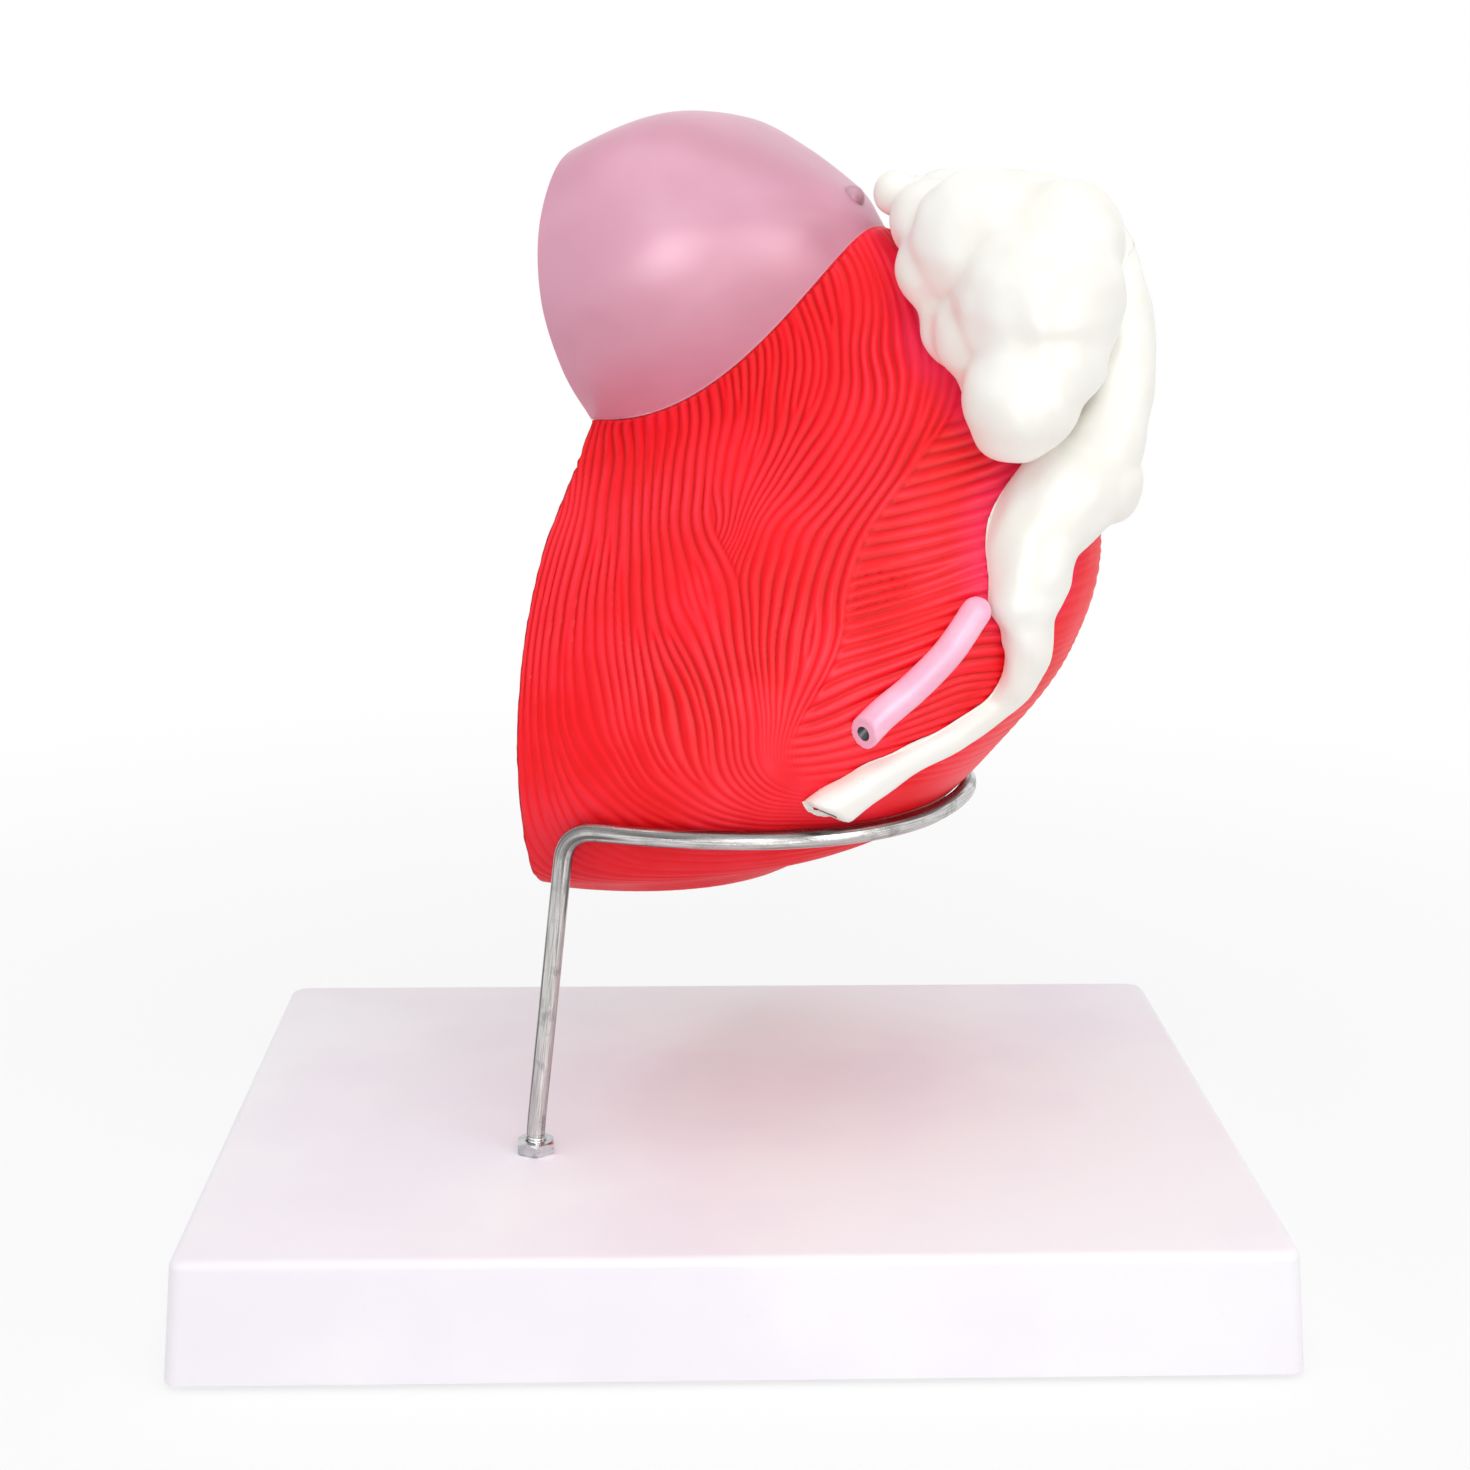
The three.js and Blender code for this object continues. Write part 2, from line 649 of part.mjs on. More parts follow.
function hexNut() {
  const outline = new THREE.Shape();
  const acrossCorners = nutAcrossFlats / Math.cos(Math.PI / 6);
  for (let k = 0; k < 6; k += 1) {
    const angle = (Math.PI / 3) * k + Math.PI / 6 + nutTurn;
    const [x, y] = [(acrossCorners / 2) * Math.cos(angle), (acrossCorners / 2) * Math.sin(angle)];
    if (k === 0) outline.moveTo(x, y);
    else outline.lineTo(x, y);
  }
  outline.closePath();
  return ringPlate(outline, nutHeight);
}

function washer() {
  const outline = new THREE.Shape();
  outline.absarc(0, 0, washerRadius, 0, 2 * Math.PI, false);
  return ringPlate(outline, washerThickness);
}

// Organ pieces

// The channel that the urethra lies in, open to the hollow and through the prostate's top
function urethraChannel() {
  const bottom = hollowTop - urethraReach;
  return post(urethraRadius + urethraWall + touchGap, cutBlock - bottom, 0, 0, bottom);
}

function bladderWall() {
  return organSolid(bladderStations)
    .subtract(aboveSeam(0))
    .subtract(organSolid(hollowStations, { behind: cutMargin }))
    .subtract(urethraChannel());
}

function bladderLining() {
  return organSolid(hollowStations, { grow: -touchGap })
    .subtract(organSolid(hollowStations, { grow: -touchGap - liningThickness, behind: cutMargin }))
    .subtract(urethraChannel());
}

// The prostate less its outer layer, carried on through the seam and the cut face
function prostateCore(layer) {
  const { rimZ, backZ } = seamStation;
  const belowSeam = { ...seamStation, rimZ: rimZ - cutMargin, backZ: backZ - cutMargin };
  return organSolid([belowSeam, ...prostateStations], { grow: -layer, behind: cutMargin });
}

function prostateCapsule() {
  return organSolid(prostateStations)
    .intersect(aboveSeam(seamGap))
    .subtract(prostateCore(capsuleThickness))
    .subtract(urethraChannel());
}

function prostateGland() {
  const behindCut = box(cutBlock, cutBlock, cutBlock, -cutBlock / 2, 0, 0);
  return prostateCore(capsuleThickness + touchGap)
    .intersect(aboveSeam(seamGap))
    .subtract(behindCut)
    .subtract(urethraChannel());
}

function urethraLining() {
  const tube = post(urethraRadius + urethraWall, cutBlock, 0, 0, 0);
  const bore = post(urethraRadius, cutBlock + 2 * cutMargin, 0, 0, -cutMargin);
  const prostate = organSolid(prostateStations, { grow: -touchGap }).intersect(aboveSeam(seamGap));
  return tube.subtract(bore).intersect(prostate);
}

// What is left of a piece outside bladder and prostate, on its own side of the middle plane
function outsideBody(solid) {
  const bladder = organSolid(bladderStations, { grow: touchGap });
  const prostate = organSolid(prostateStations, { grow: touchGap });
  const otherSide = box(cutBlock, cutBlock, cutBlock, cutBlock / 2, cutBlock / 2 - touchGap, 0);
  return solid.subtract(bladder).subtract(prostate).subtract(otherSide);
}

// The duct is rounded at the end that lies on the prostate
function ductSolid({ duct, ampulla }, grow = 0) {
  return taperedTube(duct, { grow }).add(ball(duct[0], grow)).add(ball(ampulla, grow));
}

function deferentDuct(side) {
  return outsideBody(ductSolid(side)).subtract(lumen(side.duct, ductLumen, ductLumenDepth));
}

function seminalVesicle(side) {
  return outsideBody(union(side.vesicle.map((lobe) => ball(lobe)))).subtract(ductSolid(side, touchGap));
}

function ureter(side) {
  return outsideBody(taperedTube(side.ureter))
    .subtract(ductSolid(side, touchGap))
    .subtract(lumen(side.ureter, ureterLumen, ureterLumenDepth));
}

function otherSideOf(geometry) {
  const copy = geometry.clone().scale(1, -1, 1);
  const index = copy.index.array;
  for (let i = 0; i < index.length; i += 3) [index[i + 1], index[i + 2]] = [index[i + 2], index[i + 1]];
  copy.computeVertexNormals();
  return copy;
}

// Scene graph

const model = new THREE.Group();
const organ = new THREE.Group();
organ.position.set(organX, organY, shellBottom);
organ.rotation.z = organTurn;
organ.updateMatrix();
model.add(organ);

function addPiece(parent, name, geometry, colour, place = [0, 0, 0]) {
  const mesh = new THREE.Mesh(geometry, new THREE.MeshStandardMaterial(colours[colour]));
  mesh.name = name;
  mesh.position.set(...place);
  parent.add(mesh);
}

addPiece(model, 'base_shell', toGeometry(baseShell()), 'base');
addPiece(model, 'base_plate', toGeometry(basePlate()), 'plate');
for (const { place, x, y } of fourCorners(screwInset)) {
  addPiece(model, `plate_screw_${place}`, plateScrew(), 'steel', [x, y, 0]);
}
for (const { place, x, y } of fourCorners(footInset)) {
  addPiece(model, `foot_${place}`, foot(), 'rubber', [x, y, 0]);
}

addPiece(model, 'support_rod', supportRod(organ.matrix), 'steel');
addPiece(model, 'rod_nut_top', hexNut(), 'steel', [rodFootX, rodFootY, baseTop]);
addPiece(model, 'rod_washer_under', washer(), 'steel', [rodFootX, rodFootY, washerBottom]);
addPiece(model, 'rod_nut_under', hexNut(), 'steel', [rodFootX, rodFootY, lowNutBottom]);

addPiece(organ, 'bladder_wall', toGeometry(bladderWall()), 'muscle');
addPiece(organ, 'bladder_lining', toGeometry(bladderLining()), 'mucosa');
addPiece(organ, 'prostate_capsule', toGeometry(prostateCapsule()), 'prostate');
addPiece(organ, 'prostate_gland', toGeometry(prostateGland()), 'gland');
addPiece(organ, 'urethra_lining', toGeometry(urethraLining()), 'urethra');

const pairs = [
  ['seminal_vesicle', seminalVesicle, 'ivory'],
  ['deferent_duct', deferentDuct, 'ivory'],
  ['ureter', ureter, 'ureter'],
];
for (const [name, pieceOf, colour] of pairs) {
  addPiece(organ, `${name}_right`, toGeometry(pieceOf(rightSide)), colour);
  addPiece(organ, `${name}_left`, otherSideOf(toGeometry(pieceOf(leftSide))), colour);
}

export default model;
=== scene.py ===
# Bladder anatomy model: the looks of the organ, its rod cradle and its base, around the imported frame
import math
import bmesh
import bpy
import numpy as np
from mathutils import Matrix, Vector
from mathutils.bvhtree import BVHTree


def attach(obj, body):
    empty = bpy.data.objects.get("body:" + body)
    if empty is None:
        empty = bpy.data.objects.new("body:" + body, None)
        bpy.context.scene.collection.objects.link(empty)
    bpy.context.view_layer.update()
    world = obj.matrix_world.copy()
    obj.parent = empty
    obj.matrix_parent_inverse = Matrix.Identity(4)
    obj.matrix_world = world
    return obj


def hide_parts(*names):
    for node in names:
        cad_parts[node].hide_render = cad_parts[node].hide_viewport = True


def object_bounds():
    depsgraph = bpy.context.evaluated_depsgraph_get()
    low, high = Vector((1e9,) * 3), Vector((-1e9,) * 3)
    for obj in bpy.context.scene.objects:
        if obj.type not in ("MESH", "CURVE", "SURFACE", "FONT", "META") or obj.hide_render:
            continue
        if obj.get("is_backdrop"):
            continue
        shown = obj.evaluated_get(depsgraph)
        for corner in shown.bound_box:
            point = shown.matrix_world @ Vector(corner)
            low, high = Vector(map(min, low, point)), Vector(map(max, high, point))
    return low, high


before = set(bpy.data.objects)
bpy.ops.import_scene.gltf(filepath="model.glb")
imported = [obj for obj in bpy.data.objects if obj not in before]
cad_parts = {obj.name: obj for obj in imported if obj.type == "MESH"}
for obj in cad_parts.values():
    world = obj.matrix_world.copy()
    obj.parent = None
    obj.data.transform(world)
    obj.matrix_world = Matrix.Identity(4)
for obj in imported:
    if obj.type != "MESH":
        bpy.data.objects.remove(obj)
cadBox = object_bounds()
print("frame loaded with", len(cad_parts), "nodes")

mm = 0.001  # all lengths below are in millimetres, and every mesh is scaled by this


# Camera at the photograph's viewing angle

camera = {
    "place": (-22.2, -719.5, 344.6),
    "down": 13.66,  # degrees, like the next two
    "right": 1.899,
    "roll": 0.343,
    "focalPixels": 2240.6,
    "photoPixels": 1470,  # one side of the square picture
}


def setCamera():
    down, right, roll = (math.radians(camera[key]) for key in ("down", "right", "roll"))
    ahead = Vector((math.sin(right) * math.cos(down), math.cos(right) * math.cos(down), -math.sin(down)))
    level = Vector((math.cos(right), -math.sin(right), 0))
    above = level.cross(ahead)
    across = level * math.cos(roll) + above * math.sin(roll)
    up = above * math.cos(roll) - level * math.sin(roll)
    data = bpy.data.cameras.new("camera")
    data.lens = data.sensor_width * camera["focalPixels"] / camera["photoPixels"]
    seen = bpy.data.objects.new("camera", data)
    seen.matrix_world = Matrix((across, up, -ahead)).transposed().to_4x4()
    seen.matrix_world.translation = Vector(camera["place"]) * mm
    bpy.context.scene.collection.objects.link(seen)
    bpy.context.scene.camera = seen


# Shader tools: an Amount is a socket that takes part in Python sums, a Paint is a material


class Amount:
    def __init__(self, paint, socket):
        self.paint = paint
        self.socket = socket

    def sum(self, operation, first, second=0.0):
        return self.paint.node("Math", {"operation": operation}, {0: first, 1: second})

    def __add__(self, other):
        return self.sum("ADD", self, other)

    def __radd__(self, other):
        return self.sum("ADD", other, self)

    def __sub__(self, other):
        return self.sum("SUBTRACT", self, other)

    def __rsub__(self, other):
        return self.sum("SUBTRACT", other, self)

    def __mul__(self, other):
        return self.sum("MULTIPLY", self, other)

    def __rmul__(self, other):
        return self.sum("MULTIPLY", other, self)

    def __truediv__(self, other):
        return self.sum("DIVIDE", self, other)

    def __pow__(self, other):
        return self.sum("POWER", self, other)

    def __abs__(self):
        return self.sum("ABSOLUTE", self)

    def sine(self):
        return self.sum("SINE", self)

    def most(self, other):
        return self.sum("MAXIMUM", self, other)

    def within(self, low, high):  # 0 below low, 1 above high, smooth between
        settings = {"interpolation_type": "SMOOTHSTEP"}
        return self.paint.node("MapRange", settings, {"Value": self, "From Min": low, "From Max": high})


class Paint:
    def __init__(self, name, kind="materials"):
        self.material = getattr(bpy.data, kind).new(name)
        self.material.use_nodes = True
        self.tree = self.material.node_tree
        self.tree.nodes.clear()
        self.place = self.node("TexCoord", output="Object")

    def node(self, kind, settings=None, sockets=None, output=0):
        made = self.tree.nodes.new("ShaderNode" + kind)
        for key, value in (settings or {}).items():
            setattr(made, key, value)
        for key, value in (sockets or {}).items():
            if isinstance(value, Amount):
                self.tree.links.new(value.socket, made.inputs[key])
            else:
                made.inputs[key].default_value = value
        return Amount(self, made.outputs[output]) if made.outputs else None

    def stretched(self, factors):
        return self.node("VectorMath", {"operation": "MULTIPLY"}, {0: self.place, 1: factors})

    def noise(self, size, detail=2.0, where=None):  # size of one blotch in millimetres
        sockets = {"Vector": where or self.place, "Scale": 1 / (size * mm), "Detail": detail}
        return self.node("TexNoise", {}, sockets, "Fac")

    def cells(self, size, feature="F1", where=None):
        sockets = {"Vector": where or self.place, "Scale": 1 / (size * mm)}
        return self.node("TexVoronoi", {"feature": feature}, sockets, "Distance")

    def along(self, axis):  # millimetres along an axis of the model
        return self.node("VectorMath", {"operation": "DOT_PRODUCT"}, {0: self.place, 1: axis}, "Value") / mm

    def stored(self, name):
        return self.node("Attribute", {"attribute_name": name}, output="Fac")

    def mix(self, first, second, share):
        return self.node("Mix", {"data_type": "RGBA"}, {0: share, 6: first, 7: second}, 2)

    def bump(self, height, depth, strength=1.0):  # depth in millimetres
        return self.node("Bump", {}, {"Strength": strength, "Distance": depth * mm, "Height": height})

    def seen(self):  # 1 where the camera looks straight at it, or through a reflection or glass
        straight = self.node("LightPath", output="Is Camera Ray")
        mirrored = self.node("LightPath", output="Is Glossy Ray")
        through = self.node("LightPath", output="Is Transmission Ray")
        return straight.most(mirrored).most(through)

    def finish(self, colour, roughness, normal=None, constants=None):
        sockets = {"Base Color": colour, "Roughness": roughness}
        sockets.update(constants or {})
        if normal is not None:
            sockets["Normal"] = normal
        shader = self.node("BsdfPrincipled", {}, sockets)
        self.node("OutputMaterial", {}, {"Surface": shader})
        return self.material


def tone(red, green, blue):  # a colour as seen on screen, 0 to 255, as the linear one of a shader
    return tuple(((level / 255 + 0.055) / 1.055) ** 2.4 for level in (red, green, blue)) + (1.0,)


# Mesh tools


def makePiece(name, points, faces, stored=None):
    mesh = bpy.data.meshes.new(name)
    mesh.from_pydata(np.asarray(points, float) * mm, [], faces)
    for key, amounts in (stored or {}).items():
        layer = mesh.attributes.new(key, "FLOAT", "POINT")
        layer.data.foreach_set("value", np.asarray(amounts, np.float32).ravel())
    piece = bpy.data.objects.new(name, mesh)
    bpy.context.scene.collection.objects.link(piece)
    return piece


def gridFaces(rows, columns, start=0):  # the four points of each face between rows and columns of points
    corner = start + np.arange((rows - 1) * columns).reshape(rows - 1, columns)[:, :-1]
    return np.stack([corner, corner + 1, corner + columns + 1, corner + columns], -1).reshape(-1, 4)


def sewn(name, patches, stored=None):  # one closed piece from grids that meet along their edges
    points = []
    faces = []
    start = 0
    for patch in patches:
        faces.append(gridFaces(*patch.shape[:2], start))
        points.append(patch.reshape(-1, 3))
        start += len(points[-1])
    filled = {}
    for key, amounts in (stored or {}).items():  # stored amounts belong to the first patch
        filled[key] = np.zeros(start)
        filled[key][: amounts.size] = amounts.ravel()
    piece = makePiece(name, np.vstack(points), np.vstack(faces), filled)
    work = bmesh.new()
    work.from_mesh(piece.data)
    bmesh.ops.remove_doubles(work, verts=work.verts, dist=0.002 * mm)
    bmesh.ops.recalc_face_normals(work, faces=work.faces)
    work.to_mesh(piece.data)
    work.free()
    return piece


def applied(piece):  # the piece's mesh becomes what its modifiers make of it
    graph = bpy.context.evaluated_depsgraph_get()
    mesh = bpy.data.meshes.new_from_object(piece.evaluated_get(graph))
    piece.modifiers.clear()
    piece.data = mesh
    return piece


def combined(piece, operation, *others):
    for other in others:
        modifier = piece.modifiers.new("shape", "BOOLEAN")
        modifier.operation = operation
        modifier.solver = "MANIFOLD"
        modifier.object = other
    applied(piece)
    for other in others:
        bpy.data.objects.remove(other)
    return piece


def cutWith(piece, *cutters):
    return combined(piece, "DIFFERENCE", *cutters)


def joinedWith(piece, *others):
    return combined(piece, "UNION", *others)


def keptInside(piece, *others):
    return combined(piece, "INTERSECT", *others)


def smoothed(piece, sharpAbove=38):  # smooth shading that keeps the edges above this many degrees
    work = bmesh.new()
    work.from_mesh(piece.data)
    for face in work.faces:
        face.smooth = True
    for edge in work.edges:
        edge.smooth = edge.calc_face_angle(0) < math.radians(sharpAbove)
    work.to_mesh(piece.data)
    work.free()
    return piece


def dressed(piece, material, body, slot, node):
    piece.data.materials.clear()
    piece.data.materials.append(material)
    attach(piece, body)
    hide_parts(node)
    return piece


def softNoise(points, size, seed, waves=12):  # smooth values of about -1 to 1, size in millimetres
    random = np.random.default_rng(seed)
    ways = random.normal(size=(waves, 3))
    ways *= (random.uniform(0.7, 1.4, waves) * 2 * math.pi / size / np.linalg.norm(ways, axis=1))[:, None]
    return np.sin(points @ ways.T + random.uniform(0, 2 * math.pi, waves)).sum(-1) / math.sqrt(waves)


def smoothStep(low, high, values):
    share = np.clip((values - low) / (high - low), 0, 1)
    return share * share * (3 - 2 * share)


def lengthAlong(points):
    return np.concatenate([[0], np.cumsum(np.linalg.norm(np.diff(points, axis=0), axis=1))])


def evenly(amounts, points, step):  # the amounts at points an equal step apart along a line
    along = lengthAlong(points)
    count = max(2, round(along[-1] / step))
    return np.interp(np.linspace(0, along[-1], count + 1), along, amounts)


def curveThrough(points, places):  # a smooth curve through points; place 1.5 is half way from 1 to 2
    points = np.asarray(points, float)
    padded = np.vstack([2 * points[0] - points[1], points, 2 * points[-1] - points[-2]])
    near = np.clip(np.floor(places).astype(int), 0, len(points) - 2)
    p0, p1, p2, p3 = (padded[near + k] for k in range(4))
    d0, d1, d2 = (np.sqrt(np.linalg.norm(b - a, axis=1))[:, None] for a, b in ((p0, p1), (p1, p2), (p2, p3)))
    leave = ((p1 - p0) / d0 - (p2 - p0) / (d0 + d1) + (p2 - p1) / d1) * d1
    arrive = ((p2 - p1) / d1 - (p3 - p1) / (d1 + d2) + (p3 - p2) / d2) * d1
    u = (places - near)[:, None]
    bend = -3 * p1 + 3 * p2 - 2 * leave - arrive
    twist = 2 * p1 - 2 * p2 + leave + arrive
    return p1 + leave * u + bend * u**2 + twist * u**3


def tubeBody(name, line, profile, sides, lift=None, stored=None):
    # a closed tube along a line of points; the profile lists (distance along the line, radius)
    line = np.asarray(line, float)
    along = lengthAlong(line)
    tangents = np.gradient(line, axis=0)
    tangents /= np.linalg.norm(tangents, axis=1)[:, None]
    side = np.cross(tangents[0], (0.3, 0.2, 0.9) if abs(tangents[0][2]) < 0.8 else (0.1, 1, 0))
    sideways = []
    for tangent in tangents:
        side = side - tangent * (side @ tangent)
        side = side / np.linalg.norm(side)
        sideways.append(side)
    distance, radius = np.array(profile, float).T
    centre, tangent, side = (
        np.stack([np.interp(distance, along, values[:, axis]) for axis in range(3)], -1)
        for values in (line, tangents, np.array(sideways))
    )
    centre = centre + tangent * (np.minimum(distance, 0) + np.maximum(distance - along[-1], 0))[:, None]
    other = np.cross(tangent, side)
    turn = np.linspace(0, 2 * math.pi, sides + 1)
    radii = np.repeat(radius[:, None], sides + 1, axis=1)
    if lift is not None:
        radii = radii + lift(distance[:, None], turn[None, :]) * (radius > 0)[:, None]
    spread = side[:, None, :] * np.cos(turn)[None, :, None] + other[:, None, :] * np.sin(turn)[None, :, None]
    grid = centre[:, None, :] + spread * radii[..., None]
    grid[:, -1] = grid[:, 0]
    kept = {"ringX": np.cos(turn)[None, :], "ringY": np.sin(turn)[None, :], "run": distance[:, None] / 100}
    kept.update({key: np.array(amounts, float)[:, None] for key, amounts in (stored or {}).items()})
    return sewn(name, [grid], {key: np.broadcast_to(amounts, radii.shape) for key, amounts in kept.items()})


def turned(name, x, y, profile, sides=48):  # a turned piece on an upright axis, from (height, radius)
    low = profile[0][0]
    line = [(x, y, low - 1), (x, y, low), (x, y, low + 1)]
    return tubeBody(name, line, [(height - low + 1, radius) for height, radius in profile], sides)


def cylinder(name, x, y, low, high, radius, sides=48):
    return turned(name, x, y, [(low, 0), (low, radius), (high, radius), (high, 0)], sides)


def block(name, xs, ys, zs):  # a plain block from its three ranges, used to build and cut with
    around = ((0, 0), (1, 0), (1, 1), (0, 1), (0, 0))
    loops = [np.array([(xs[i], ys[j], z) for i, j in around]) for z in zs]
    ends = [loop[[0, 1, 3, 2]].reshape(2, 2, 3) for loop in loops]
    return sewn(name, [np.stack(loops), *ends])


# Base moulding, closing plate, screws and feet

base = {
    "width": 340,
    "depth": 240,
    "height": 38,
    "draft": 2.7,  # how much the sides lean in from bottom to top
    "edgeRadius": 3,
    "cornerRadius": 5,
    "wall": 3,
    "ribWidth": 2.5,
    "ribHeight": 12,
    "ribApart": (90, 120),  # the two ribs across the width, and the two across the depth
    "postRadius": 5,
    "bossRadius": 12,
    "bossDepth": 6,
    "plateRecess": 1.5,
    "plateThickness": 2.5,
    "plateGap": 0.5,
    "plateChamfer": 0.4,
    "footInset": 36,
    "footRadius": 10,
    "footProud": 2,
    "overrun": 1,  # how far a round cutter runs past what it cuts
}
screw = {
    "inset": 16,
    "radius": 1.5,
    "length": 12,
    "point": 1.5,
    "headRadius": 3.5,
    "headHeight": 1.8,
    "crownRadius": 2.1,  # the flat middle of the head
    "crownHeight": 1.2,  # of the rounded edge around it
    "crossReach": 1.8,  # from the middle of the cross recess to the end of an arm
    "crossHalfWidth": 0.35,
    "crossDepth": 1.1,
    "holeRadius": 1.8,
    "holeTop": 17.5,  # where the hole in a post ends in a cone
}
shellBottom = base["footProud"]
baseTop = shellBottom + base["height"]
plateBottom = shellBottom + base["plateRecess"]
plateTop = plateBottom + base["plateThickness"]
bossBottom = baseTop - base["wall"] - base["bossDepth"]


def roundedLoop(inset, radius, z, steps=8):
    width = base["width"] / 2 - inset - radius
    depth = base["depth"] / 2 - inset - radius
    points = []
    for quarter, (signX, signY) in enumerate(((1, 1), (-1, 1), (-1, -1), (1, -1))):
        for angle in (quarter + np.linspace(0, 1, steps + 1)) * math.pi / 2:
            x = signX * width + radius * math.cos(angle)
            y = signY * depth + radius * math.sin(angle)
            points.append((x, y, z))
    return np.array(points + points[:1])


def stackedBody(name, loops):  # a closed body through loops, each end closed to its middle
    ends = [np.broadcast_to(loop[:-1].mean(0), loop.shape) for loop in (loops[0], loops[-1])]
    return sewn(name, [np.stack([ends[0], *loops, ends[1]])])


def baseOutline():
    radius = base["cornerRadius"]
    edge = base["edgeRadius"]
    lipHeight = 1.2  # a narrow band of faces beside each edge keeps the flat sides flat
    loops = [
        roundedLoop(lipHeight, radius, shellBottom),
        roundedLoop(0, radius, shellBottom),
        roundedLoop(base["draft"] * lipHeight / base["height"], radius, shellBottom + lipHeight),
    ]
    for angle in np.linspace(0, math.pi / 2, 9):
        inset = base["draft"] + edge * (1 - math.cos(angle))
        loops.append(roundedLoop(inset, radius, baseTop - edge * (1 - math.sin(angle))))
    for further in (lipHeight, 4 * lipHeight):
        loops.append(roundedLoop(base["draft"] + edge + further, radius, baseTop))
    return stackedBody("base_moulding", loops)


def baseHollow():
    wall = base["wall"]
    return stackedBody("base_hollow", [
        roundedLoop(wall, wall, shellBottom - 1),
        roundedLoop(wall, wall, shellBottom),
        roundedLoop(wall + base["draft"], wall, baseTop - wall),
    ])


def fourCorners(inset):
    x = base["width"] / 2 - inset
    y = base["depth"] / 2 - inset
    return {"front_left": (-x, -y), "front_right": (x, -y), "rear_left": (-x, y), "rear_right": (x, y)}


def baseMoulding():
    fused = baseTop - base["wall"] / 2  # ribs and posts run into the top this far
    ribBottom = baseTop - base["wall"] - base["ribHeight"]
    halfRib = base["ribWidth"] / 2
    reach = (base["width"] / 2 - 2 * base["wall"], base["depth"] / 2 - 2 * base["wall"])
    parts = []
    for side in (-0.5, 0.5):
        x, y = (side * apart for apart in base["ribApart"])
        parts.append(block("rib", (x - halfRib, x + halfRib), (-reach[1], reach[1]), (ribBottom, fused)))
        parts.append(block("rib", (-reach[0], reach[0]), (y - halfRib, y + halfRib), (ribBottom, fused)))
    posts = fourCorners(screw["inset"]).values()
    for x, y in posts:
        parts.append(cylinder("post", x, y, plateTop, fused, base["postRadius"]))
    parts.append(cylinder("boss", rod["footX"], rod["footY"], bossBottom, fused, base["bossRadius"]))
    holes = [rodHole(bossBottom, baseTop)]
    start = plateTop - base["overrun"]
    radius = screw["holeRadius"]
    top = screw["holeTop"]
    for x, y in posts:
        holes.append(turned("screw_hole", x, y, [(start, 0), (start, radius), (top, radius), (top + 1, 0)]))
    moulding = joinedWith(cutWith(baseOutline(), baseHollow()), *parts)
    return smoothed(cutWith(moulding, *holes))


def basePlate():
    lean = base["draft"] * (plateTop - shellBottom) / base["height"]
    edge = base["wall"] + base["plateGap"] + lean
    chamfer = base["plateChamfer"]
    loops = [roundedLoop(edge + 1.5, base["wall"], plateBottom)]
    for inset, z in ((chamfer, plateBottom), (0, plateBottom + chamfer), (0, plateTop)):
        loops.append(roundedLoop(edge + inset, base["wall"], z))
    low = plateBottom - base["overrun"]
    high = plateTop + base["overrun"]
    corners = fourCorners(screw["inset"]).values()
    holes = [cylinder("hole", x, y, low, high, screw["holeRadius"]) for x, y in corners]
    return smoothed(cutWith(stackedBody("closing_plate", loops), *holes))


def plateScrew(name, x, y):
    low = plateBottom - screw["headHeight"]
    crown = screw["crownRadius"]
    profile = [(low, 0), (low, crown)]
    for angle in np.linspace(0.3, 1.5, 6):
        height = low + screw["crownHeight"] * (1 - math.cos(angle))
        profile.append((height, crown + (screw["headRadius"] - crown) * math.sin(angle)))
    tip = plateBottom + screw["length"]
    profile += [(plateBottom, screw["headRadius"]), (plateBottom, screw["radius"])]
    profile += [(tip - screw["point"], screw["radius"]), (tip, 0)]
    made = turned(name, x, y, profile, 32)
    depths = (low - base["overrun"], low + screw["crossDepth"])
    long, narrow = screw["crossReach"], screw["crossHalfWidth"]
    for a, b in ((long, narrow), (narrow, long)):
        cutWith(made, block("cross", (x - a, x + a), (y - b, y + b), depths))
    return smoothed(made, 30)


def rubberFoot(name, x, y):
    radius = base["footRadius"]
    dish = 0.5  # depth of the hollow underneath
    rounded = 0.8
    profile = [(dish, 0), (dish, radius * 0.45), (0, radius * 0.52)]
    for angle in np.linspace(0, math.pi / 2, 7):
        profile.append((rounded * (1 - math.cos(angle)), radius - rounded * (1 - math.sin(angle))))
    return smoothed(turned(name, x, y, profile + [(plateBottom, radius), (plateBottom, 0)]), 50)


def basePaint():
    paint = Paint("white_moulding")
    mottle = paint.noise(90, 3)
    colour = paint.mix(tone(243, 238, 246), tone(248, 246, 250), mottle.within(0.35, 0.65))
    scuffed = paint.mix(colour, tone(226, 220, 230), paint.noise(1.2, 4).within(0.68, 0.8) * 0.35)
    rough = 0.36 + paint.noise(30, 3) * 0.1
    return paint.finish(scuffed, rough, paint.bump(paint.noise(2.2, 2), 0.03), {"Specular IOR Level": 0.4})


def platePaint():
    paint = Paint("plate_moulding")
    grain = paint.noise(0.7, 2)
    colour = paint.mix(tone(222, 219, 222), tone(232, 229, 232), paint.noise(40, 3))
    return paint.finish(colour, 0.5 + grain * 0.15, paint.bump(grain, 0.06))


def rubberPaint():
    paint = Paint("foot_rubber")
    grain = paint.noise(0.5, 3)
    dusty = paint.mix(tone(34, 34, 35), tone(66, 64, 62), paint.noise(6, 3).within(0.5, 0.75) * 0.5)
    return paint.finish(dusty, 0.75 + grain * 0.15, paint.bump(grain, 0.05))


# Bent rod with its thread, nuts and washer

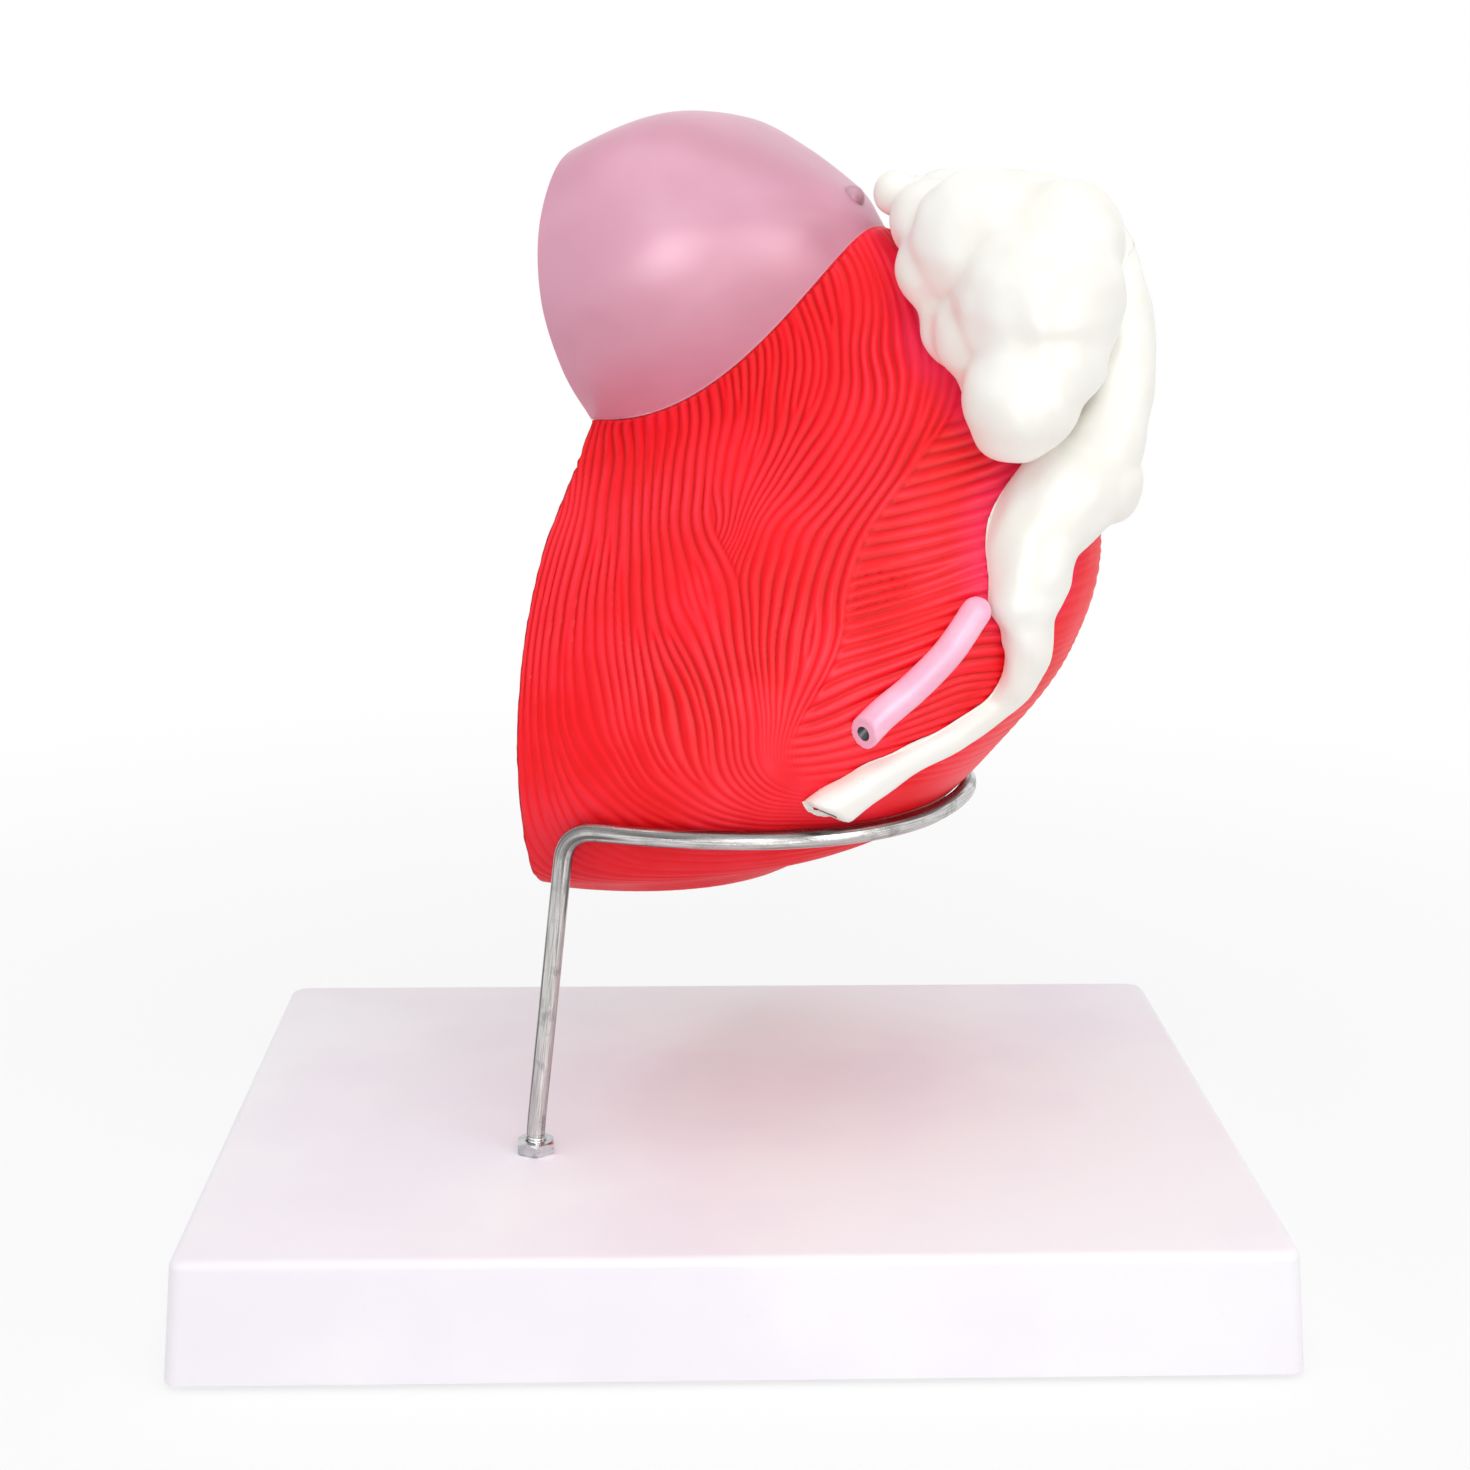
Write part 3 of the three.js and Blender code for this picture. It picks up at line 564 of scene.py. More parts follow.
rod = {
    "radius": 3,
    "footX": -63.8,
    "footY": -39.7,
    "above": 7,  # height over the base top at which the upright foot bends into the leaning leg
    "end": 5,  # length below the lower nut
    "bendReach": 10,
    "cradleHeight": 147.5,  # in the organ's frame
    "cradleStart": 0.2,  # radians from the cut face's rim, at both ends of the cradle
    "touchGap": 0.3,
    "cradlePoints": 17,
    "pitch": 1.0,
    "threadDepth": 0.42,
    "threadAbove": 2.6,  # length of thread over the upper nut
    "sides": 28,
    "endRound": 0.8,
    "holeRadius": 3.3,
    "nutFlats": 11.5,
    "nutHeight": 4,
    "nutTurn": 3,  # degrees
    "nutSink": 0.55,  # countersink at both ends of the nut's thread
    "threadGap": 0.08,
    "washerRadius": 9,
    "washerThickness": 1.5,
}
washerBottom = bossBottom - rod["washerThickness"]
lowNutBottom = washerBottom - rod["nutHeight"]


def rodHole(low, high):  # cuts the rod's hole between two heights
    overrun = base["overrun"]
    return cylinder("rod_hole", rod["footX"], rod["footY"], low - overrun, high + overrun, rod["holeRadius"])


def cradleLine():  # the middle of the rod where it lies round the bladder, level at the cradle's height
    def wall(t, angle):
        return surfacePoints(bladderStations, t, angle)

    t = np.linspace(1, 6, 1500)
    shift = 1e-3  # for the surface's two slopes
    points = []
    for angle in np.linspace(rod["cradleStart"], math.pi - rod["cradleStart"], rod["cradlePoints"]):
        up = wall(t + shift, angle) - wall(t - shift, angle)
        onward = wall(t, angle + shift) - wall(t, angle - shift)
        out = np.cross(onward, up)
        out /= np.linalg.norm(out, axis=1)[:, None]
        middle = wall(t, angle) + out * (rod["radius"] + rod["touchGap"])
        points.append([np.interp(rod["cradleHeight"], middle[:, 2], middle[:, axis]) for axis in range(3)])
    return organPlace(points)


def bentCorner(start, corner, end, count=14):
    u = np.linspace(0, 1, count)[:, None]
    return start * (1 - u) ** 2 + corner * 2 * u * (1 - u) + end * u**2


def rodLine():
    spans = rod["cradlePoints"] - 1
    cradle = curveThrough(cradleLine(), np.linspace(0, spans, spans * 20 + 1))
    begin = cradle[1] - cradle[0]
    corner = cradle[0] - begin / np.linalg.norm(begin) * rod["bendReach"]
    bottom = np.array([rod["footX"], rod["footY"], lowNutBottom - rod["end"]])
    studTop = np.array([rod["footX"], rod["footY"], baseTop + rod["above"]])
    studBend = np.array([rod["footX"], rod["footY"], baseTop + rod["nutHeight"]])
    lean = (corner - studTop) / np.linalg.norm(corner - studTop)
    legLow = studTop + lean * rod["above"]
    legHigh = corner - lean * rod["bendReach"]
    straight = np.linspace(0, 1, 80)[:, None]
    return np.vstack([
        (bottom + (studBend - bottom) * straight)[:-1],
        bentCorner(studBend, studTop, legLow)[:-1],
        (legLow + (legHigh - legLow) * straight)[:-1],
        bentCorner(legHigh, corner, cradle[0])[:-1],
        cradle,
    ])


def supportRod():
    line = rodLine()
    whole = lengthAlong(line)[-1]
    threaded = baseTop + rod["nutHeight"] + rod["threadAbove"] - line[0][2]
    radius = rod["radius"]
    soft = rod["endRound"]
    fine, coarse = 0.25, 1.2  # steps along the thread and along the plain bar
    fadeOut = 1.5

    def thread(distance, turn):
        wave = np.abs(((distance / rod["pitch"] + turn / (2 * math.pi)) % 1) * 2 - 1)
        return -rod["threadDepth"] * wave * (1 - smoothStep(threaded - fadeOut, threaded, distance))

    profile = [(0, 0), (0, radius - soft)]
    profile += [(distance, radius) for distance in np.arange(soft, threaded + 2 * fine, fine)]
    profile += [(distance, radius) for distance in np.arange(threaded + 4 * fine, whole - soft, coarse)]
    for angle in np.linspace(0, math.pi / 2, 6):
        profile.append((whole - soft * (1 - math.sin(angle)), radius - soft * (1 - math.cos(angle))))
    return smoothed(tubeBody("cradle_rod", line, profile + [(whole, 0)], rod["sides"], thread), 60)


def hexNut(name, low):
    x, y = rod["footX"], rod["footY"]
    height = rod["nutHeight"]
    flats = rod["nutFlats"] / 2
    corners = flats / math.cos(math.pi / 6)
    turn = np.radians(30 + rod["nutTurn"] + 60 * np.arange(7))
    loop = np.stack([x + corners * np.cos(turn), y + corners * np.sin(turn), np.zeros(7)], -1)
    nut = stackedBody(name, [loop + (0, 0, z) for z in (low, low + height)])
    high = low + height
    crown = flats * 0.96  # radius of the flat ring at both ends
    wide = corners + 0.3
    slope = (wide - crown) * math.tan(math.radians(30))
    cone = [(low, 0), (low, crown), (low + slope, wide), (high - slope, wide), (high, crown), (high, 0)]
    bore = rod["radius"] + rod["threadGap"]
    sink = rod["nutSink"]
    hole = [(low - 1, 0), (low - 1, bore + sink + 1), (low + sink, bore)]
    hole += [(high - sink, bore), (high + 1, bore + sink + 1), (high + 1, 0)]
    keptInside(nut, turned("cone", x, y, cone, 96))
    return smoothed(cutWith(nut, turned("hole", x, y, hole)), 25)


def underWasher():
    low = washerBottom
    high = low + rod["washerThickness"]
    radius = rod["washerRadius"]
    soft = 0.3
    profile = [(low, 0), (low, radius - soft), (low + soft, radius)]
    profile += [(high - soft, radius), (high, radius - soft), (high, 0)]
    washer = turned("rod_washer", rod["footX"], rod["footY"], profile)
    return smoothed(cutWith(washer, rodHole(low, high)), 30)


def rodPaint():
    paint = Paint("drawn_steel")
    ring = {"X": paint.stored("ringX"), "Y": paint.stored("ringY"), "Z": paint.stored("run")}
    around = paint.node("CombineXYZ", {}, ring)

    def noiseAlongBar(scale, detail):  # noise that runs along the bar: the drawn marks, and the bands of painted reflection
        return paint.node("TexNoise", {}, {"Vector": around, "Scale": scale, "Detail": detail}, "Fac")

    streaks = noiseAlongBar(9.0, 3.0)
    lines = noiseAlongBar(60.0, 1.0)
    # painted reflection: dark bands along the bar stand in for dark surroundings mirrored in the steel
    reflectionBands = noiseAlongBar(1.7, 1.0).within(0.4, 0.52)
    stain = paint.noise(7, 3).within(0.52, 0.7)
    drawn = paint.mix(tone(172, 170, 168), tone(218, 216, 214), streaks.within(0.3, 0.7))
    colour = paint.mix(tone(66, 65, 64), drawn, 0.2 + reflectionBands * 0.8)
    dull = paint.mix(colour, tone(116, 114, 112), stain * 0.5)
    rough = 0.14 + streaks * 0.12 + stain * 0.12
    return paint.finish(dull, rough, paint.bump(lines, 0.02), {"Metallic": 1.0})


def platedPaint():
    paint = Paint("plated_steel")
    blotch = paint.noise(2.5, 3)
    colour = paint.mix(tone(176, 177, 180), tone(204, 204, 205), blotch.within(0.3, 0.7))
    return paint.finish(colour, 0.2 + blotch * 0.15, paint.bump(paint.noise(0.4, 2), 0.02), {"Metallic": 1.0})


# Organ surfaces, in the organ's own frame: x back from the cut face, y to its left side, z up.
# A station is: height and half width at the cut face, depth and height at the back, sag, roundness.

organ = {"x": -30, "y": 40, "lift": 2, "turn": -28}
seamStation = (270, 32.5, 86, 332, 2.2, 2.8)
bladderStations = [
    (110, 0, 0, 110, 1.2, 2.3),
    (114, 40, 51, 117, 1.2, 2.3),
    (120.5, 60, 73, 128.5, 1.2, 2.3),
    (130.5, 75, 101, 139.5, 1.2, 2.3),
    (165, 82, 127, 166, 1.2, 2.3),
    (200, 78, 151, 200, 1.25, 2.3),
    (230, 65.5, 160, 240, 1.35, 2.3),
    (252, 47, 143, 290, 1.6, 2.3),
    seamStation,
]
prostateStations = [
    seamStation,
    (288, 51, 78, 342, 1.6, 2.5),
    (309, 63, 68, 349, 1.3, 2.3),
    (332, 63.5, 52, 358, 1.1, 2.3),
    (351, 51, 35, 366, 1, 2.3),
    (357.5, 29, 18, 367, 1, 2.3),
    (358, 0, 0, 358, 1, 2.3),
]
hollowStations = [
    (121, 0, 0, 121, 1.2, 2.3),
    (125, 34, 43, 128, 1.2, 2.3),
    (131, 52, 64, 139, 1.2, 2.3),
    (141, 64, 90, 150, 1.2, 2.3),
    (168, 70.5, 114, 171, 1.2, 2.3),
    (200, 66, 137, 202, 1.2, 2.3),
    (226, 53, 143, 236, 1.3, 2.3),
    (245, 34, 116, 272, 1.5, 2.3),
    (257, 15, 50, 274, 1.5, 2.3),
    (260, 0, 0, 260, 1.5, 2.3),
]
layers = {"gap": 0.3, "seamGap": 0.12, "lining": 3, "capsule": 3, "urethra": 5, "urethraWall": 2}
channelRadius = layers["urethra"] + layers["urethraWall"] + layers["gap"]
channelBottom = 246
cutMargin = 20  # how far a cutting block runs past what it cuts
blockSide = 400
organFrame = Matrix.Translation(Vector((organ["x"], organ["y"], organ["lift"])) * mm)
organFrame = organFrame @ Matrix.Rotation(math.radians(organ["turn"]), 4, "Z")


def organPlace(points):  # from the organ's frame to the model's
    x, y, z = np.moveaxis(np.asarray(points, float), -1, 0)
    cosine = math.cos(math.radians(organ["turn"]))
    sine = math.sin(math.radians(organ["turn"]))
    placed = [
        organ["x"] + x * cosine - y * sine,
        organ["y"] + x * sine + y * cosine,
        z + organ["lift"],
    ]
    return np.stack(placed, -1)


def onOrgan(piece, side=1):  # moves a piece from the organ's frame to the model's; side -1 mirrors it
    if side < 0:
        piece.data.transform(Matrix.Diagonal((1, -1, 1, 1)))
        piece.data.flip_normals()
    piece.data.transform(organFrame)
    return piece


def stationValues(stations, t):  # on smooth curves through the stations; a closed end goes on mirrored
    rows = np.array(stations, float)
    flip = np.array([1, -1, -1, 1, 1, 1])
    before = rows[1] * flip if rows[0, 1] == 0 else 2 * rows[0] - rows[1]
    after = rows[-2] * flip if rows[-1, 1] == 0 else 2 * rows[-1] - rows[-2]
    padded = np.vstack([before, rows, after])
    index = np.clip(np.floor(t).astype(int), 0, len(rows) - 2)
    u = (t - index)[..., None]
    p0, p1, p2, p3 = (padded[index + k] for k in range(4))
    bend = 2 * p0 - 5 * p1 + 4 * p2 - p3
    twist = 3 * p1 - p0 - 3 * p2 + p3
    return p1 + 0.5 * ((p2 - p0) * u + bend * u**2 + twist * u**3)


def surfacePoints(stations, t, angle):  # angle from the near rim, 0, round the back to the far rim, pi
    t, angle = np.broadcast_arrays(np.asarray(t, float), np.asarray(angle, float))
    rimZ, half, depth, backZ, sag, roundness = np.moveaxis(stationValues(stations, t), -1, 0)
    back = np.abs(np.sin(angle)) ** (2 / roundness)
    back = np.where(back < 1e-6, 0, back)
    across = np.sign(np.cos(angle)) * np.abs(np.cos(angle)) ** (2 / roundness)
    return np.stack([depth * back, -half * across, rimZ + (backZ - rimZ) * back**sag], -1)


def organGrid(stations, step, grow=0.0):  # t and angle with even steps, and the grid of points
    manyT = np.linspace(0, len(stations) - 1, 600)
    t = evenly(manyT, surfacePoints(stations, manyT, math.pi / 4), step)
    widest = max(range(len(stations)), key=lambda index: stations[index][1] + stations[index][2])
    manyAngles = np.linspace(0, math.pi / 2, 600)
    quarter = evenly(manyAngles, surfacePoints(stations, widest, manyAngles), step)
    angle = np.concatenate([quarter, math.pi - quarter[-2::-1]])
    grid = surfacePoints(stations, t[:, None], angle[None, :])
    low, high = stations[0][0], stations[-1][0]
    middle = (low + high) / 2
    grid[..., 0] *= 1 + grow / max(station[2] for station in stations)
    grid[..., 1] *= 1 + grow / max(station[1] for station in stations)
    grid[..., 2] = middle + (grid[..., 2] - middle) * (1 + 2 * grow / (high - low))
    return t, angle, grid


def organBody(name, grid, behind=0.0, stored=None):  # closes a grid with its flat cut face
    if behind > 0:
        ends = [grid[:, :1].copy(), grid[:, -1:].copy()]
        for end in ends:
            end[..., 0] = -behind
        grid = np.concatenate([ends[0], grid, ends[1]], axis=1)
    patches = [grid, np.stack([grid[:, 0], grid[:, -1]], axis=1)]
    for loop in (grid[0], grid[-1]):
        if np.ptp(loop[:, 1]) > 0:
            half = (len(loop) + 1) // 2
            patches.append(np.stack([loop[:half], loop[::-1][:half]], axis=1))
    return sewn(name, patches, stored)


def gridNormals(grid):  # pointing out; at the rims they stay in the plane of the cut face
    down, onward = (np.gradient(grid, axis=axis) for axis in (0, 1))
    normals = np.cross(onward, down)
    normals[:, 0, 0] = 0
    normals[:, -1, 0] = 0
    return normals / np.maximum(np.linalg.norm(normals, axis=-1, keepdims=True), 1e-9)


def aboveSeam(shift):  # a block of all that lies above the seam of bladder and prostate, less the shift
    rimZ, _, depth, backZ, sag, _ = seamStation
    x = np.concatenate([[-2 * cutMargin], np.linspace(0, depth + cutMargin, 60)])
    z = rimZ + (backZ - rimZ) * (np.maximum(x, 0) / depth) ** sag + shift
    high = np.full_like(x, blockSide)
    side = np.full_like(x, blockSide / 2)
    loop = [(-side, z), (-side, high), (side, high), (side, z), (-side, z)]
    grid = np.stack([np.stack([x, y, height], -1) for y, height in loop], axis=1)
    ends = [row[[0, 1, 3, 2]].reshape(2, 2, 3) for row in (grid[0], grid[-1])]
    return sewn("above_seam", [grid, *ends])


def upright(name, radius, low, high, sides=64):  # a cylinder on the urethra's axis
    return cylinder(name, 0, 0, low, high, radius, sides)


def inFront(halfWidth, low, high, step, relief):
    # what lies in front of the cut face; relief says how deep its fine face is pressed into the section
    y = np.arange(-halfWidth, halfWidth + step, step)
    z = np.arange(low, high + step, step)
    grid = np.stack(np.broadcast_arrays(0.0, y[:, None], z[None, :]), -1).astype(float)
    grid[..., 0] = relief(grid)
    back = grid.copy()
    back[..., 0] = -2 * cutMargin
    patches = [grid, back]
    for pick in (0, -1):
        patches.append(np.stack([grid[pick], back[pick]], axis=1))
        patches.append(np.stack([grid[:, pick], back[:, pick]], axis=1))
    return sewn("in_front", patches)


# Muscle wall: raised bundles follow lines traced on the surface, each with its count of bundles.
# A point of a line is (station, degrees from the near rim). The left and the right band share the lines
# between them; further down the left band's last bundle runs along the right band's first.

muscle = {
    "step": 0.75,
    "bundleDepth": 0.85,  # at most; a narrow bundle has less
    "depthPerWidth": 0.24,
    "roundness": 1.25,  # of a bundle's section: below 1 it is flatter, with narrower grooves
    "clearWidth": (0.6, 1.8),  # bundles narrower than this, in millimetres, run together
    "splitWidth": (4.4, 5.6),  # bundles wider than this part into two
    "meetCount": 12,  # the left band ends at this count
    "edgeCount": 29,  # the right band ends at this count, at the rings
    "edgeRaise": 1.1,  # how much the right band stands up beside the rings
    "edgeReach": 4.5,  # in bundles
    "edgeBlur": 0.4,
    "edgeAbove": (4.2, 4.9),  # stations over which that edge fades towards the bottom
    "wander": 0.06,  # in bundles
    "shared": [
        (11, [(8, 20.5), (7.25, 16.5), (6.7, 16.5)]),
        (13, [(8, 26.5), (7.75, 24), (7.2, 19.5), (6.7, 18.5)]),
    ],
    "left": [
        (-2, [(7.9, 0), (7.4, 0)]),
        (-5, [(6.6, 0), (6, 0), (5, 0), (4.2, 0), (3.6, 0)]),
        (0, [(7.5, 1), (6.9, 2), (6.3, 3), (5.6, 3), (5, 3.5), (4.4, 4.5), (3.95, 8), (3.65, 14)]),
        (2, [(7.9, 2), (7.5, 3.5), (6.9, 4.5), (6.3, 5.5), (5.7, 6), (5, 7.5), (4.4, 11), (3.9, 17),
             (3.6, 28), (3.5, 40), (3.45, 60), (3.45, 90)]),
        (5, [(8, 7), (7.45, 7.5), (6.9, 8.5), (6.3, 9.5), (5.7, 11), (5.1, 13.5), (4.4, 18), (3.95, 25),
             (3.7, 34), (3.6, 55), (3.6, 90)]),
        (8, [(8, 14), (7.35, 12), (6.8, 12), (6.3, 12.5), (5.65, 15.5), (5.1, 21), (4.6, 25.5), (4.1, 30),
             (3.8, 37), (3.7, 55), (3.7, 90)]),
        (11, [(6.3, 17), (5.85, 20.5), (5.2, 24), (4.6, 28.5), (4.2, 32)]),
        (12, [(6.25, 18.5), (5.85, 22), (5.2, 25.5), (4.6, 30.5), (4.2, 34), (3.97, 39), (3.8, 55),
              (3.8, 90)]),
        (22, [(6.5, 60), (6.5, 90), (5, 60), (5, 90)]),
        (-1, [(3.5, 9), (3.2, 18), (3.1, 32), (3.1, 52), (3.1, 90)]),
        (-9, [(2.3, 10), (2.1, 45), (2.1, 90)]),
    ],
    "right": [
        (15, [(7.95, 35), (7.6, 28), (7.1, 23), (6.6, 21), (6.25, 20.5)]),
        (17, [(7.95, 43), (7.8, 39.5), (7.5, 32), (7, 27), (6.6, 23), (6.25, 21.5)]),
        (19, [(7.95, 51), (7.65, 44.5), (7.35, 36.5), (7, 29), (6.6, 25)]),
        (20, [(7.9, 56.5), (7.6, 46), (7.3, 38.5), (6.95, 31), (6.6, 26), (6.25, 22.5), (5.85, 22),
              (5.2, 25.5), (4.6, 30.5), (4.2, 34), (3.97, 39), (3.8, 55), (3.8, 90)]),
        (22, [(7.9, 66), (7.75, 59), (7.55, 49), (7.25, 42), (6.9, 35.5), (6.55, 30), (6.25, 25.5),
              (5.8, 25)]),
        (24, [(7.95, 73), (7.7, 63), (7.5, 52.5), (7.15, 46), (6.85, 39), (6.5, 33.5), (6.25, 29),
              (5.8, 28), (5.25, 29), (4.8, 31.5)]),
        (26, [(8, 82), (7.85, 74.5), (7.6, 64), (7.4, 56.5), (7.1, 49), (6.8, 43), (6.5, 37.5),
              (6.2, 33), (5.8, 31.5), (5.35, 32)]),
        (27, [(7.85, 80), (7.6, 68), (7.35, 59), (7.1, 51), (6.8, 44.5)]),
        (29, [(7.15, 63), (7, 58.5), (6.85, 54), (6.7, 49), (6.5, 44), (6.35, 41), (6.15, 38.5),
              (6, 37.5), (5.8, 37), (5.6, 37), (5.4, 38), (5.1, 38), (4.8, 37), (4.5, 37),
              (4.25, 38.5), (4.05, 43), (3.9, 55), (3.9, 90)]),
    ],
    "rings": [
        (-6, [(7.6, 62), (7.8, 90)]),
        (1, [(6.85, 56), (6.9, 60), (7.1, 90)]),
        (3, [(6.7, 51), (6.7, 59), (6.9, 90)]),
        (5, [(6.5, 44.5), (6.55, 59.5), (6.75, 90)]),
        (7, [(6.3, 41), (6.4, 59.5), (6.55, 90)]),
        (9, [(6.1, 38.5), (6.2, 57.5), (6.3, 90)]),
        (11, [(5.85, 37.5), (6.05, 56.5), (6.15, 90)]),
        (13, [(5.5, 38), (5.8, 57.5), (5.9, 90)]),
        (16, [(5.15, 39), (5.45, 55.5), (5.55, 90)]),
        (20, [(4.5, 40), (4.8, 51), (5, 60), (5.05, 90)]),
        (25, [(4, 42), (4.1, 60), (4.1, 90)]),
        (31, [(3, 30), (3, 60), (3, 90)]),
    ],
    "blushReach": 13,  # millimetres over which the pink beside the ducts and vesicles fades into the red
    "blushAbove": 228,  # height above which there is any
    "calmBelow": (3.3, 5.3),  # stations over which the bundles grow flat towards the bottom
    "calmBehind": (82, 64),  # degrees from the near rim over which they grow flat towards the back
    "calm": 0.35,
    "shadeBelow": (118, 172),  # heights over which painted shade deepens the red towards the bottom
}


def countedSurface(lines, grid):  # the count of bundles at each point of a grid, smooth between the lines
    places = []
    counts = []
    for count, line in lines:
        t, degrees = np.array(line, float).T
        points = surfacePoints(bladderStations, t, np.radians(degrees))
        index = evenly(np.arange(len(t)), points, 9)
        dense = [np.interp(index, np.arange(len(t)), values) for values in (t, degrees)]
        places.append(surfacePoints(bladderStations, dense[0], np.radians(dense[1])) / 100)
        counts.append(np.full(len(index), float(count)))
    places = np.concatenate(places)
    counts = np.concatenate(counts)
    size = len(places)
    plane = np.hstack([np.ones((size, 1)), places])
    stiffness = 2e-4  # lets the surface miss a line a little, so that it stays smooth
    apart = np.linalg.norm(places[:, None] - places[None], axis=-1)
    system = np.zeros((size + 4, size + 4))
    system[:size, :size] = apart**3 + stiffness * np.eye(size)
    system[:size, size:] = plane
    system[size:, :size] = plane.T
    weights = np.linalg.solve(system, np.concatenate([counts, np.zeros(4)]))
    result = []
    for part in np.array_split(grid.reshape(-1, 3) / 100, 16):
        reach = np.linalg.norm(part[:, None] - places[None], axis=-1) ** 3
        result.append(reach @ weights[:size] + np.hstack([np.ones((len(part), 1)), part]) @ weights[size:])
    return np.concatenate(result).reshape(grid.shape[:-1])


def bundleWidth(count, grid):  # millimetres from one groove to the next, square to the bundles
    down, onward = (np.gradient(grid, axis=axis) for axis in (0, 1))
    countDown, countOnward = (np.gradient(count, axis=axis) for axis in (0, 1))
    downDown = (down * down).sum(-1)
    both = (down * onward).sum(-1)
    onwardOnward = (onward * onward).sum(-1)
    change = onwardOnward * countDown**2 - 2 * both * countDown * countOnward + downDown * countOnward**2
    return np.sqrt((downDown * onwardOnward - both * both + 1e-9) / (change + 1e-9))


def bundles(count, grid, strength):  # height, 0 at the crests; how clear the bundles are; how split
    width = bundleWidth(count, grid)
    clear = smoothStep(*muscle["clearWidth"], width) * np.minimum(strength, 1)
    split = smoothStep(*muscle["splitWidth"], width)
    single, double = (np.abs(np.sin(math.pi * times * count)) ** muscle["roundness"] for times in (1, 2))
    crest = single + (double - single) * split
    depth = np.minimum(muscle["depthPerWidth"] * width, muscle["bundleDepth"])
    return depth * clear * (crest - 1), clear, split


def muscleRelief(t, angle, grid):  # height of the wall at each point of the grid, and what its paint needs
    half = (len(angle) + 1) // 2  # the near half is worked out, the far half mirrors it
    near = grid[:, :half]
    tNear = np.repeat(t[:, None], half, axis=1)
    wander = muscle["wander"] * softNoise(near, 60, 3)
    strength = np.clip(0.9 + 0.25 * softNoise(near, 34, 5), 0.4, 1.2)
    lively = smoothStep(*muscle["calmBelow"], tNear)
    lively = lively * smoothStep(*muscle["calmBehind"], np.degrees(angle[:half]))
    strength *= muscle["calm"] + (1 - muscle["calm"]) * lively
    left = countedSurface(muscle["shared"] + muscle["left"], near) + wander
    right = countedSurface(muscle["shared"] + muscle["right"], near) + wander
    rings = countedSurface(muscle["rings"], near) + wander
    toEdge = right - muscle["edgeCount"]
    fade = smoothStep(*muscle["edgeAbove"], tNear)
    blur = muscle["edgeBlur"] + 3 * (1 - fade)
    onRight = smoothStep(-0.3, 0.3, left - muscle["meetCount"])
    onRing = smoothStep(-blur, blur, toEdge) * onRight
    parts = [bundles(count, near, strength) for count in (left, right, rings)]
    height, clear, split = (
        (ofLeft * (1 - onRight) + ofRight * onRight) * (1 - onRing) + ofRings * onRing
        for ofLeft, ofRight, ofRings in zip(*parts)
    )
    raised = np.exp(np.minimum(toEdge, 0) / muscle["edgeReach"]) * onRight * (1 - onRing) * fade
    height += muscle["edgeRaise"] * raised
    height *= smoothStep(0, 0.04, len(bladderStations) - 1 - tNear)  # flat at the seam
    stored = {"left": left, "right": right, "rings": rings, "onRight": onRight, "onRing": onRing}
    stored.update({"clear": clear, "split": split, "height": height})
    stored = {name: np.concatenate([part, part[:, -2::-1]], axis=1) for name, part in stored.items()}
    return stored.pop("height"), {**stored, "blush": blushOn(grid)}


def blushOn(grid):  # 1 where the wall meets a duct or vesicle, 0 beyond the blush's reach
    reach = np.full(grid.shape[:-1], 1e3)
    for side, pieces in softPlaces.items():
        for x, y, z, radius in pieces["duct"] + pieces["vesicle"]:
            if z > muscle["blushAbove"]:
                reach = np.minimum(reach, np.linalg.norm(grid - (x, side * y, z), axis=-1) - radius)
    return smoothStep(muscle["blushReach"], 0, reach)


def muscleWall():
    t, angle, grid = organGrid(bladderStations, muscle["step"])
    height, stored = muscleRelief(t, angle, grid)
    shaped = grid + gridNormals(grid) * height[..., None]
    wall = organBody("bladder_muscle", shaped, stored=stored)
    hollow = organBody("hollow", organGrid(hollowStations, 3)[2], behind=cutMargin)
    channel = upright("channel", channelRadius, channelBottom, blockSide)

    def relief(face):
        return 0.12 + 0.45 * np.abs(softNoise(face, 8, 21)) * (0.6 + 0.4 * np.abs(softNoise(face, 30, 22)))

    cutWith(wall, hollow, channel, inFront(90, 100, 280, 1.3, relief))
    return onOrgan(smoothed(wall, 55))


